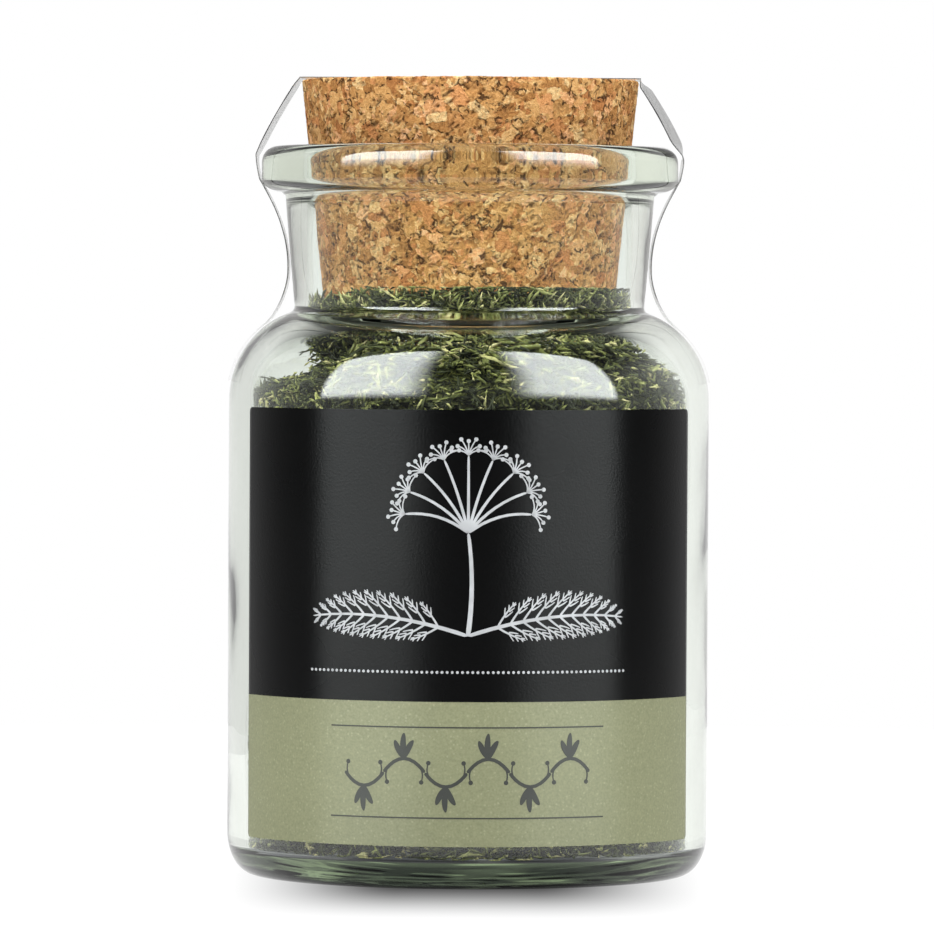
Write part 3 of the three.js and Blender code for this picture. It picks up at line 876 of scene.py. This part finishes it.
def makeDillCore():
    # the middle that the threads lie on: the outline drawn in along its normal and turned about Z,
    # then dented towards its centre by cell noise and a product of three sines
    s = dillHeap
    fine = refined(heapOutline(), 10)
    drawn = fine - outOf(fine) * s["coreDepth"]
    drawn[:, 0] = np.maximum(drawn[:, 0], 0)
    drawn[0, 0] = drawn[-1, 0] = 0
    points, faces = revolve(drawn, s["coreColumns"])
    near, _, tone = cellField(points, s["dentSize"], 9)
    x, y, z = points.T
    cells, waves = s["dentDepth"]
    dent = cells * near + waves * np.sin(x * 3.1) * np.sin(z * 2.7) * np.sin(y * 2.9)
    points = points - unit(points - (0, 0, 38.0)) * dent[:, None]
    meshPiece("dill_core", points, faces, makePackedMaterial(), "dill", {"tone": 0.1 * tone})


makeDill()
makeDillCore()
print("dill made")


# the label

labelShape = {
    "halfTurn": 63.4,  # degrees each side of the front
    "lift": 0.03,  # off the glass
    "thickness": 0.15,
    "corner": 0.6,
    "columns": 160,
    "bandTop": 23.0,  # the lower, lighter field ends here
    "black": (0.0008, 0.0009, 0.001),
    "olive": (0.238, 0.25, 0.148),
    "fleck": (0.55, 0.58, 0.40),
    "fleckShare": 0.25,
    "sheen": (0.25, 0.31),  # the black field's roughness wanders between these
    "dullOlive": 0.12,  # how much rougher the olive field is
}
labelLow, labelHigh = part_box("label")
labelBottom, labelTop = labelLow.z / metre, labelHigh.z / metre
labelInside = jarRadius + labelShape["lift"]
labelOutside = labelInside + labelShape["thickness"]


def wrapped(across, height, radius):
    # a flat drawing laid round the jar: across is the arc's length from the front's middle, + to the right
    turn = across / labelOutside
    return np.stack([radius * np.sin(turn), -radius * np.cos(turn), np.broadcast_to(height, turn.shape)], -1)


def makeLabelMaterial():
    # its sheen is drawn out upright, because the anisotropy's quarter turn sets it across the round of the
    # jar; the olive field has pale flecks on a share of the spots of a cell pattern
    s = labelShape
    values = {"Specular IOR Level": 0.138, "Anisotropic": 0.9, "Anisotropic Rotation": 0.25}
    material, tree, surface, place = newMaterial("satin printed paper", values)
    roundWay = node(tree, "Tangent", direction_type="RADIAL", axis="Z").outputs["Tangent"]
    tree.links.new(roundWay, surface.inputs["Tangent"])
    upper = maths(tree, "GREATER_THAN", axisOf(tree, place, "Z"), s["bandTop"] * metre)
    grain = mottle(tree, place, 3600.0, 0.86, 1.13, 2.0)
    olive = tinted(tree, s["olive"], times(tree, grain, mottle(tree, place, 60.0, 0.95, 1.05, 2.0)))
    cells = node(tree, "TexVoronoi", {"Vector": place, "Scale": 2400.0}).outputs
    dice = node(tree, "SeparateColor", {"Color": cells["Color"]}).outputs["Red"]
    chosen = maths(tree, "LESS_THAN", dice, s["fleckShare"])
    flecks = times(tree, chosen, spread(tree, cells["Distance"], 0.4, 0.24))
    olive = mixColour(tree, times(tree, flecks, 0.16), olive, s["fleck"])
    black = tinted(tree, s["black"], mottle(tree, place, 900.0, 0.8, 1.2))
    paint(tree, surface, mixColour(tree, upper, olive, black))
    dull = spread(tree, upper, 0, 1, s["dullOlive"], 0.0)
    sheen = maths(tree, "ADD", mottle(tree, place, 45.0, *s["sheen"], 4.0), dull)
    tree.links.new(sheen, surface.inputs["Roughness"])
    bumpFrom(tree, surface, grain, 0.00003)
    letLampsThrough(tree, surface, share=0.7)
    return material


def makeLabel():
    # a sheet round the front of the body; near its lower and upper ends its half width is drawn in by
    # c - (c^2 - (c - d)^2)^(1/2), with c the corners' radius and d how far the end is
    s = labelShape
    corner = s["corner"]
    ends = corner * (1 - np.cos(np.linspace(0, np.pi / 2, 7)))
    middle = np.linspace(labelBottom + corner, labelTop - corner, 60)[1:-1]
    height = np.concatenate([labelBottom + ends, middle, labelTop - ends[::-1]])
    fromEnd = np.minimum(np.minimum(height - labelBottom, labelTop - height), corner)
    half = math.radians(s["halfTurn"]) * labelOutside
    inset = corner - np.sqrt(np.maximum(0, corner**2 - (corner - fromEnd) ** 2))
    across = np.linspace(-1, 1, s["columns"])[None] * (half - inset)[:, None]
    rows = np.repeat(height[:, None], s["columns"], 1)
    points, faces = closedShell(wrapped(across, rows, labelOutside), wrapped(across, rows, labelInside))
    meshPiece("label_paper", points, faces, makeLabelMaterial(), "label")


makeLabel()
print("label made")


# the drawing on the label: strokes of ink, each a thin raised ribbon

drawing = {
    "rise": 0.03,  # of the ink over the paper
    "sink": 0.04,  # and into it
    "rings": 13,  # along each stroke
    "heart": (0, 31.0),  # where the flower's stalk and the two fronds meet
    "umbel": (12.5, 9),  # the stalk's height and the number of rays
    "frond": (20.5, 6, 2.4),  # how far it reaches, how many degrees up, and how far it bows
    "dots": (20.5, 26.6, 67, 0.34),  # half width, height, number and size
    "vine": (15.5, 14.4, 6, 1.7),  # half width, height, number of half waves and their swing
    "rules": ((17.5, 19.9, 0.16), (17.5, 8.9, 0.16)),  # half width, height and thickness
    "silver": (0.45, 0.465, 0.48),
    "dark": (0.012, 0.014, 0.010),
}


def strokes(name, pen, material):
    # pen is rows of (start, control, end, width, fullness, taper), points as (across, height). The middle is
    # the quadratic curve (1-s)^2 start + 2 s (1-s) control + s^2 end; the half width is
    # width / 2 (1 - |2s-1|^fullness)^(1/2) (1 - taper s), on the label's round
    a, b, c, width, fullness, taper = (np.array(part, float)[:, None] for part in zip(*pen))
    s = 0.5 - 0.5 * np.cos(np.linspace(0, np.pi, drawing["rings"]))[None]
    t = s[..., None]
    middle = (1 - t) ** 2 * a + 2 * t * (1 - t) * b + t**2 * c
    along = unit(2 * (1 - t) * (b - a) + 2 * t * (c - b))
    half = width / 2 * np.sqrt(np.maximum(0, 1 - np.abs(2 * s - 1) ** fullness)) * (1 - taper * s) + 0.004
    side = np.stack([-along[..., 1], along[..., 0]], -1) * half[..., None]
    low, high = labelOutside - drawing["sink"], labelOutside + drawing["rise"]
    corners = ((middle + side, low), (middle - side, low), (middle - side, high), (middle + side, high))
    points = np.stack([wrapped(spot[..., 0], spot[..., 1], radius) for spot, radius in corners], 2)
    count, rings = points.shape[:2]  # then four corners, and xyz
    tube = gridFaces(rings, 4, closed=True)
    first = 4 * rings * np.arange(count)[:, None, None]
    caps = np.array([[3, 2, 1, 0], [4 * rings - 4, 4 * rings - 3, 4 * rings - 2, 4 * rings - 1]])
    faces = [(first + tube).reshape(-1, 4), (first + caps).reshape(-1, 4)]
    meshPiece(name, points.reshape(-1, 3), faces, material, "label", smooth=False)


def turned(length, degreesUp):
    a = math.radians(degreesUp)
    return np.array([length * math.cos(a), length * math.sin(a)])


def dot(at, size):
    return (at + (-size / 2, 0), at, at + (size / 2, 0), size, 2, 0)


def umbel(foot, height, rays):
    # a dill flower head: rays fan out from the stalk's top, and each ends in a smaller fan tipped with dots
    foot = np.array(foot, float)
    top = foot + (0, height)
    pen = [(foot, foot + (0.9, height * 0.5), top, 0.62, 30, 0.35)]
    for k in range(rays):
        share = 2 * k / (rays - 1) - 1
        angle = 90 - 74 * share
        reach = 9.4 - 1.3 * share**2
        tip = top + turned(reach, angle)
        pen.append((top, top + turned(reach * 0.55, 90 - 52 * share), tip, 0.36, 20, 0.2))
        for m in range(7):
            fan = angle + 150 * (m / 6 - 0.5)
            end = tip + turned(1.75 if m % 2 else 2.15, fan)
            pen.append((tip, tip + turned(1.0, (fan + angle) / 2), end, 0.17, 20, 0.2))
            pen.append(dot(end, 0.5))
    return pen


def frond(foot, reach, degreesUp, lift, mirror):
    # a feathered leaf: a rib with pairs of side ribs that shorten to its tip, each with threads of its own
    foot = np.array(foot, float)
    way = turned(reach, degreesUp) * (mirror, 1)
    control = foot + way * 0.5 + (0, lift)
    tip = foot + way
    pen = [(foot, control, tip, 0.5, 30, 0.6)]
    pairs = 11
    for k in range(1, pairs + 1):
        s = 0.1 + 0.88 * k / (pairs + 0.5)
        at = (1 - s) ** 2 * foot + 2 * s * (1 - s) * control + s**2 * tip
        lean = 2 * (1 - s) * (control - foot) + 2 * s * (tip - control)
        angle = math.degrees(math.atan2(lean[1], lean[0]))
        size = 4.6 * math.sin(math.pi * (0.16 + 0.8 * s)) ** 0.9
        for side in (-1, 1):
            out = angle + side * mirror * 48
            end = at + turned(size, out - side * mirror * 9)
            pen.append((at, at + turned(size * 0.5, out), end, 0.26, 20, 0.5))
            for m in (0.4, 0.62, 0.84):
                root = at + (end - at) * m
                thread = size * 0.42 * (1.15 - m)
                for turn in (1, -1):
                    bow, point = turned(thread * 0.5, out + turn * 34), turned(thread, out + turn * 26)
                    pen.append((root, root + bow, root + point, 0.2, 20, 0.5))
    return pen


def dottedRule(halfWidth, height, count, size):
    return [dot(np.array([halfWidth * (2 * k / (count - 1) - 1), height]), size) for k in range(count)]


def vine(halfWidth, height, waves, swing):
    # a wavy stem of half waves drawn one after another, with a drop-shaped leaf and a curl off each crest
    pen = []
    step = 2 * halfWidth / waves
    for k in range(waves):
        x = -halfWidth + step * k
        up = 1 if k % 2 else -1
        start, end = np.array([x, height]), np.array([x + step, height])
        crest = np.array([x + step / 2, height + 2 * swing * up])
        pen.append((start, crest, end, 0.42, 60, 0))
        top = np.array([x + step / 2, height + swing * up])
        for lean, size in ((62, 2.5), (118, 2.5), (90, 3.1)):
            tip = top + turned(size, up * lean)
            pen.append((top, top + turned(size * 0.6, up * (lean + 8)), tip, 0.8, 2, 0.2))
        for side in (-1, 1):
            foot = np.array([x + step / 2 + side * step * 0.3, height + swing * up * 0.66])
            tip = foot + (side * 0.6, -up * 2.3)
            pen.append((foot, foot + (side * 1.1, -up * 0.9), tip, 0.24, 20, 0.4))
            pen.append(dot(tip, 0.55))
    return pen


def rule(halfWidth, height, width):
    # a long straight line in short pieces, so that each follows the label's round
    lap = 0.03
    ends = np.linspace(-halfWidth, halfWidth, 13)
    pieces = zip(ends[:-1] - lap, ends[1:] + lap)
    return [((a, height), ((a + b) / 2, height), (b, height), width, 300, 0) for a, b in pieces]


def makeInk(name, colour, roughness, unevenness):
    material, tree, surface, place = newMaterial(name, {"Roughness": roughness})
    paint(tree, surface, tinted(tree, colour, mottle(tree, place, *unevenness)))
    return material


def makeDrawing():
    # the flower, the fronds and the dotted rule stand on the black field, the vine and its rules on the olive
    s = drawing
    silver = makeInk("silver ink", s["silver"], 0.38, (500.0, 0.8, 1.15))
    dark = makeInk("dark ink", s["dark"], 0.5, (800.0, 0.7, 1.3))
    sprays = umbel(s["heart"], *s["umbel"])
    for mirror in (1, -1):
        sprays += frond(s["heart"], *s["frond"], mirror)
    strokes("label_umbel", sprays + dottedRule(*s["dots"]), silver)
    lines = vine(*s["vine"])
    for place in s["rules"]:
        lines += rule(*place)
    strokes("label_vine", lines, dark)


makeDrawing()
print("label drawn")


# the seal

filmShape = {
    "thickness": 0.1,
    "bulge": (0.2, 0.3),  # at -X and +X
    "skew": (0.14, 0.85),  # the same, for how far the free span's edges are twisted out and in
    "lipStand": 0.55,  # off the lip's top corner
    "waist": (0.7, 75.5),  # off the neck's foot, at this height
    "landing": 52.0,  # degrees up the shoulder's arc
    "end": 61.5,  # its height
    "clear": 0.16,  # off the cork, the lip and the shoulder
    "wrinkle": 0.03,
    "tint": (1.0, 0.995, 0.975),
    "greyAndShade": (0.62, 0.3),  # stretched film let through at -X and at +X; the darker +X is painted shade
    "cling": 0.96,  # and the film where it clings
    "stretchedFrom": (0.0209, 0.0215),  # in metres: how far out the stretched film begins
    "stretchedAbove": (0.0885, 0.0905),
    "unseen": (0.85, 0.067, 0.072),  # the share of the clinging film that can't be seen, and where that ends
}
_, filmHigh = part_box("seal_strip")
filmHalfWidth = filmHigh.y / metre


def filmLine(bulge):
    # one side's middle line in the (r, z) plane: over the cork, a bowed span to the lip, in to the neck, out
    # on to the shoulder and down it
    s, j = filmShape, jarShape
    top = corkTop + s["clear"]
    corner = np.array([corkTopRadius + 0.1, top])
    lipHigh = np.array([j["lipRadius"] + s["lipStand"], jarHeight - 1.1])
    lipLow = np.array([j["lipRadius"] + s["clear"] - 0.04, j["neckTop"] + j["lipUnder"][1] + 0.3])
    waist = np.array([j["neckRadius"] + s["waist"][0], s["waist"][1]])
    radius = j["shoulderRadius"] + s["clear"]
    last = math.degrees(math.asin((s["end"] - j["shoulderStart"]) / j["shoulderRadius"]))
    shoulder = arcPoints(shoulderCentre, radius, radius, s["landing"], last, 20)
    landing = shoulder[0]
    middle = (corner + lipHigh) / 2 + np.array([1.75, 1.0]) * bulge
    return np.concatenate([
        bezier([(0, top), (corner[0] * 0.5, top), corner], 30),
        bezier([corner, middle, lipHigh], 24)[1:],
        bezier([lipHigh, lipHigh + (0.06, -1.0), lipLow], 8)[1:],
        bezier([lipLow, lipLow - (1.5, 2.6), waist + (0, 5), waist], 30)[1:],
        bezier([waist, waist - (0, 2.6), landing + (-1.7, 1.35), landing], 20)[1:],
        shoulder[1:],
    ])


def makeFilmMaterial():
    # hazier where it is stretched between the cork and the lip; lower down it clings and can hardly be seen
    s = filmShape
    values = {"Roughness": 0.12, "IOR": 1.08, "Transmission Weight": 1.0}
    material, tree, surface, place = newMaterial("clear seal film", values)
    across, height = axisOf(tree, place, "X"), axisOf(tree, place, "Z")
    beside = spread(tree, maths(tree, "ABSOLUTE", across), *s["stretchedFrom"])
    stretched = times(tree, beside, spread(tree, height, *s["stretchedAbove"]))
    # painted shade: the stretched film's grey is painted darker at +X than at -X
    filmGreyAndShade = between(tree, stretched, s["cling"], spread(tree, across, -0.022, 0.022, *s["greyAndShade"]))
    paint(tree, surface, tinted(tree, s["tint"], filmGreyAndShade))
    bumpFrom(tree, surface, mottle(tree, place, 300.0, 0.0, 1.0), 0.00003)
    share, begin, end = s["unseen"]
    letLampsThrough(tree, surface, faint=spread(tree, height, begin, end, share, 0.0))
    return material


def makeFilm():
    # the strip is its middle line carried half its width to each side, twisted between the cork and the lip
    # by skew y / half width, with faint wrinkles where it hangs free, and thinner towards its two ends
    s = filmShape
    left = filmLine(s["bulge"][0]) * (-1, 1)
    line = np.concatenate([left[::-1], filmLine(s["bulge"][1])[1:]])
    along = unit(np.gradient(line, axis=0))
    normal = np.stack([-along[:, 1], along[:, 0]], -1)
    y = np.linspace(-filmHalfWidth, filmHalfWidth, 33)
    reach = np.abs(line[:, 0])
    free = smoothStep(26.2, 25.2, reach) * smoothStep(corkTopRadius, corkTopRadius + 1, reach)
    wrinkle = s["wrinkle"] * free[:, None] * np.sin(line[:, 1:] * 1.3 + y[None] * 0.9) * np.cos(y[None] * 1.7)
    span = smoothStep(corkTopRadius, corkTopRadius + 0.9, reach)
    span *= smoothStep(jarHeight - 2, jarHeight + 1, line[:, 1])
    twist = span[:, None] * np.where(line[:, :1] < 0, *s["skew"]) * y[None] / filmHalfWidth
    thin = 0.15 + 0.85 * smoothStep(s["end"], s["end"] + 3, line[:, 1:])

    def layer(side):
        offset = side * s["thickness"] / 2 * thin + wrinkle
        x = line[:, :1] + normal[:, :1] * offset + twist
        z = line[:, 1:] + normal[:, 1:] * offset
        return np.stack([x, np.repeat(y[None], len(line), 0), z], -1)

    points, faces = closedShell(layer(1), layer(-1))
    meshPiece("seal_film", points, faces, makeFilmMaterial(), "seal_strip")


makeFilm()
print("seal made")


# the studio

studio = {
    "floorRadius": 330.0,
    "shadeFront": (20.0, 76.0),  # from where the jar's shade on the floor fades, and to where it is gone
    "shadeBack": (10.0, 50.0),
    "shadeSide": (8.0, 32.0),
    "shadeDepth": 0.07,  # the light left where the shade is deepest
    "underJar": (23.0, 27.0, 0.4),  # from where to where its shade fades, and the light left in it
    "deepFloor": 0.6,  # the floor's light after two turns in the glass
    "boxFacing": 10.5,  # degrees each side of the front: which way a box's panel faces the jar
    "boxDistance": 600.0,  # from the jar's axis to the panel's plane
    "boxInner": (64.0, 80.0),  # along the plane to the near edge of the left and of the right panel
    "boxWidth": 1250.0,
    "boxSpan": (90.0, 1346.0),  # from the lower edge to the upper one
    "boxBorder": (0.16, 0.1),  # the shares of its width and height over which its glow falls off
    "boxGlow": 15.5,  # times the backdrop's white, in reflections
    "lampAzimuth": 47.5,
    "lampWidth": 625.0,
    "lampSpan": (96.0, 1346.0),
    "lampLight": 3.4,  # the same, as light on dull surfaces
    "behindLight": 1.0,
    "topLight": 2.2,
    "topSize": 1500.0,
    "topHeight": 1300.0,
    "tentHeight": (0.4, 0.7),  # how steeply up or down the tent ends, as a direction's Z
    "aboveTent": 0.25,
    "room": 0.02,  # the dark room in reflections
    "roomInGlass": 0.3,  # the same for light that has gone through glass
    "backdrop": (0.05, 0.85),  # where the tent begins and is at its whitest, as a direction's Y
    "overhang": 0.8,  # how much further to the front it comes for each unit of a direction's Z
    "backdropInGlass": (-0.85, -0.35),
    "deep": 0.5,  # what is left of the tent after four turns in the glass
    "leftSide": 0.82,  # of the right side's light
    "ceiling": 0.3,  # of the light from the sides
    "ceilingHeight": (0.35, 0.8),  # as a direction's Z
}


def softenEdges(data):
    # a softbox's glow falls off towards its border: the product of one rise along each of its two directions
    data.use_nodes = True
    tree = data.node_tree
    emission = tree.nodes["Emission"]
    place = node(tree, "NewGeometry").outputs["Parametric"]
    rises = []
    for axis, border in zip("XY", studio["boxBorder"]):
        fromMiddle = maths(tree, "ABSOLUTE", maths(tree, "SUBTRACT", axisOf(tree, place, axis), 0.5))
        rises.append(smoothly(tree, maths(tree, "SUBTRACT", 0.5, fromMiddle), 0.0, border))
    tree.links.new(times(tree, *rises), emission.inputs["Strength"])


def areaLamp(name, wide, high, radiance, turn, forGloss):
    # energy is the radiance times pi times the area
    data = bpy.data.lights.new(name, "AREA")
    data.shape = "RECTANGLE"
    data.size, data.size_y = wide * metre, high * metre
    data.energy = radiance * math.pi * data.size * data.size_y
    data.color = (0.95, 1.0, 0.99) if forGloss else (1, 1, 1)
    data.cycles.use_multiple_importance_sampling = forGloss
    lamp = bpy.data.objects.new(name, data)
    lamp.matrix_world = turn
    bpy.context.scene.collection.objects.link(lamp)
    lamp.visible_camera = False
    lamp.visible_transmission = False
    lamp.visible_glossy = forGloss
    lamp.visible_diffuse = not forGloss
    return data


def uprightPanel(azimuth, sideways, span):
    # the place and turn of an upright panel whose face looks at the jar's axis from this azimuth
    place = Matrix.Translation(Vector((sideways, -studio["boxDistance"], sum(span) / 2)) * metre)
    return Matrix.Rotation(math.radians(azimuth), 4, "Z") @ place @ Matrix.Rotation(math.radians(90), 4, "X")


def makeBoxes():
    # a softbox in front to each side, as seen in reflections and as it lights dull surfaces, and wide soft
    # lights behind and overhead
    s = studio
    high, lampHigh = np.ptp(s["boxSpan"]), np.ptp(s["lampSpan"])
    for word, side, inner in (("left", -1, s["boxInner"][0]), ("right", 1, s["boxInner"][1])):
        panel = uprightPanel(side * s["boxFacing"], side * (inner + s["boxWidth"] / 2), s["boxSpan"])
        softenEdges(areaLamp(word + " box in reflections", s["boxWidth"], high, s["boxGlow"], panel, True))
        lamp = uprightPanel(side * s["lampAzimuth"], 0, s["lampSpan"])
        areaLamp(word + " box on dull surfaces", s["lampWidth"], lampHigh, s["lampLight"], lamp, False)
    behind = uprightPanel(180, 0, s["lampSpan"])
    areaLamp("fill behind on dull surfaces", s["lampWidth"] * 2, lampHigh, s["behindLight"], behind, False)
    overhead = Matrix.Translation((0, 0, s["topHeight"] * metre))
    areaLamp("overhead on dull surfaces", s["topSize"], s["topSize"], s["topLight"], overhead, False)


def makeWorld():
    # straight through clear glass there is white all round. A mirrored ray sees a white tent behind and
    # beside the jar, dimmer after each turn in the glass, and a darker room in front. Dull surfaces get
    # their light from the lamps alone.
    s = studio
    world = bpy.data.worlds.new("studio")
    bpy.context.scene.world = world
    world.cycles_visibility.diffuse = False
    world.use_nodes = True
    tree = world.node_tree
    tree.nodes.clear()
    way = node(tree, "SeparateXYZ", {"Vector": node(tree, "TexCoord").outputs["Generated"]}).outputs
    path = node(tree, "LightPath").outputs
    inGlass = maths(tree, "GREATER_THAN", path["Transmission Depth"], 0.5)
    mirrored = maths(tree, "GREATER_THAN", path["Glossy Depth"], 0.5)
    over = maths(tree, "ADD", way["Y"], times(tree, maths(tree, "MAXIMUM", way["Z"], 0.0), s["overhang"]))
    outside = smoothly(tree, over, *s["backdrop"], s["room"])
    inside = smoothly(tree, way["Y"], *s["backdropInGlass"], s["roomInGlass"])
    tent = between(tree, inGlass, outside, inside)
    tent = times(tree, tent, spread(tree, path["Glossy Depth"], 1.0, 4.0, 1.0, s["deep"]))
    tent = times(tree, tent, spread(tree, way["X"], -0.6, 0.6, s["leftSide"]))
    tilt = maths(tree, "ABSOLUTE", way["Z"])
    tent = times(tree, tent, smoothly(tree, tilt, *s["tentHeight"], 1.0, s["aboveTent"]))
    overhead = smoothly(tree, way["Z"], *s["ceilingHeight"], 1.0, s["ceiling"])
    level = times(tree, between(tree, mirrored, 1.0, tent), overhead)
    level = between(tree, path["Is Camera Ray"], level, 1.0)
    glow = node(tree, "Background", {"Color": (1, 1, 1, 1), "Strength": level})
    tree.links.new(glow.outputs["Background"], node(tree, "OutputWorld").inputs["Surface"])


def makeFloor():
    # a round pale sheet just under the foot, shaded under the jar and softly towards the front
    s = studio
    turn = np.arange(96) * 2 * np.pi / 96
    ring = np.stack([np.cos(turn), np.sin(turn), np.zeros(96)], -1) * s["floorRadius"] * metre
    data = bpy.data.meshes.new("floor")
    data.from_pydata((ring - (0, 0, 0.0001)).tolist(), [], [list(range(96))])
    values = {"Base Color": (0.02, 0.02, 0.02, 1), "Roughness": 0.9, "Specular IOR Level": 0.0,
              "Emission Color": (1, 1, 1, 1)}
    material, tree, surface, place = newMaterial("pale floor", values)

    def fade(value, begin, end):
        return smoothly(tree, value, begin * metre, end * metre, 1.0, 0.0)

    way = node(tree, "SeparateXYZ", {"Vector": place}).outputs
    front = fade(times(tree, way["Y"], -1.0), *s["shadeFront"])
    beside = fade(maths(tree, "ABSOLUTE", way["X"]), *s["shadeSide"])
    dark = times(tree, beside, times(tree, front, fade(way["Y"], *s["shadeBack"])))
    begin, end, left = s["underJar"]
    away = node(tree, "VectorMath", {0: place}, operation="LENGTH").outputs["Value"]
    under = times(tree, fade(away, begin, end), left)
    shade = maths(tree, "MAXIMUM", spread(tree, dark, 0.0, 1.0, 1.0, s["shadeDepth"]), under)
    turns = node(tree, "LightPath").outputs["Glossy Depth"]
    deep = spread(tree, turns, 1.0, 2.0, 1.03, s["deepFloor"])
    tree.links.new(times(tree, deep, shade), surface.inputs["Emission Strength"])
    data.materials.append(material)
    floor = bpy.data.objects.new("floor", data)
    bpy.context.scene.collection.objects.link(floor)


def makeStudio():
    makeBoxes()
    makeWorld()
    makeFloor()
    scene = bpy.context.scene
    scene.view_settings.view_transform = "Standard"
    scene.cycles.caustics_reflective = False
    scene.cycles.caustics_refractive = False
    scene.cycles.max_bounces = 16
    scene.cycles.transmission_bounces = 16
    scene.cycles.transparent_max_bounces = 24


makeStudio()
print("studio made")
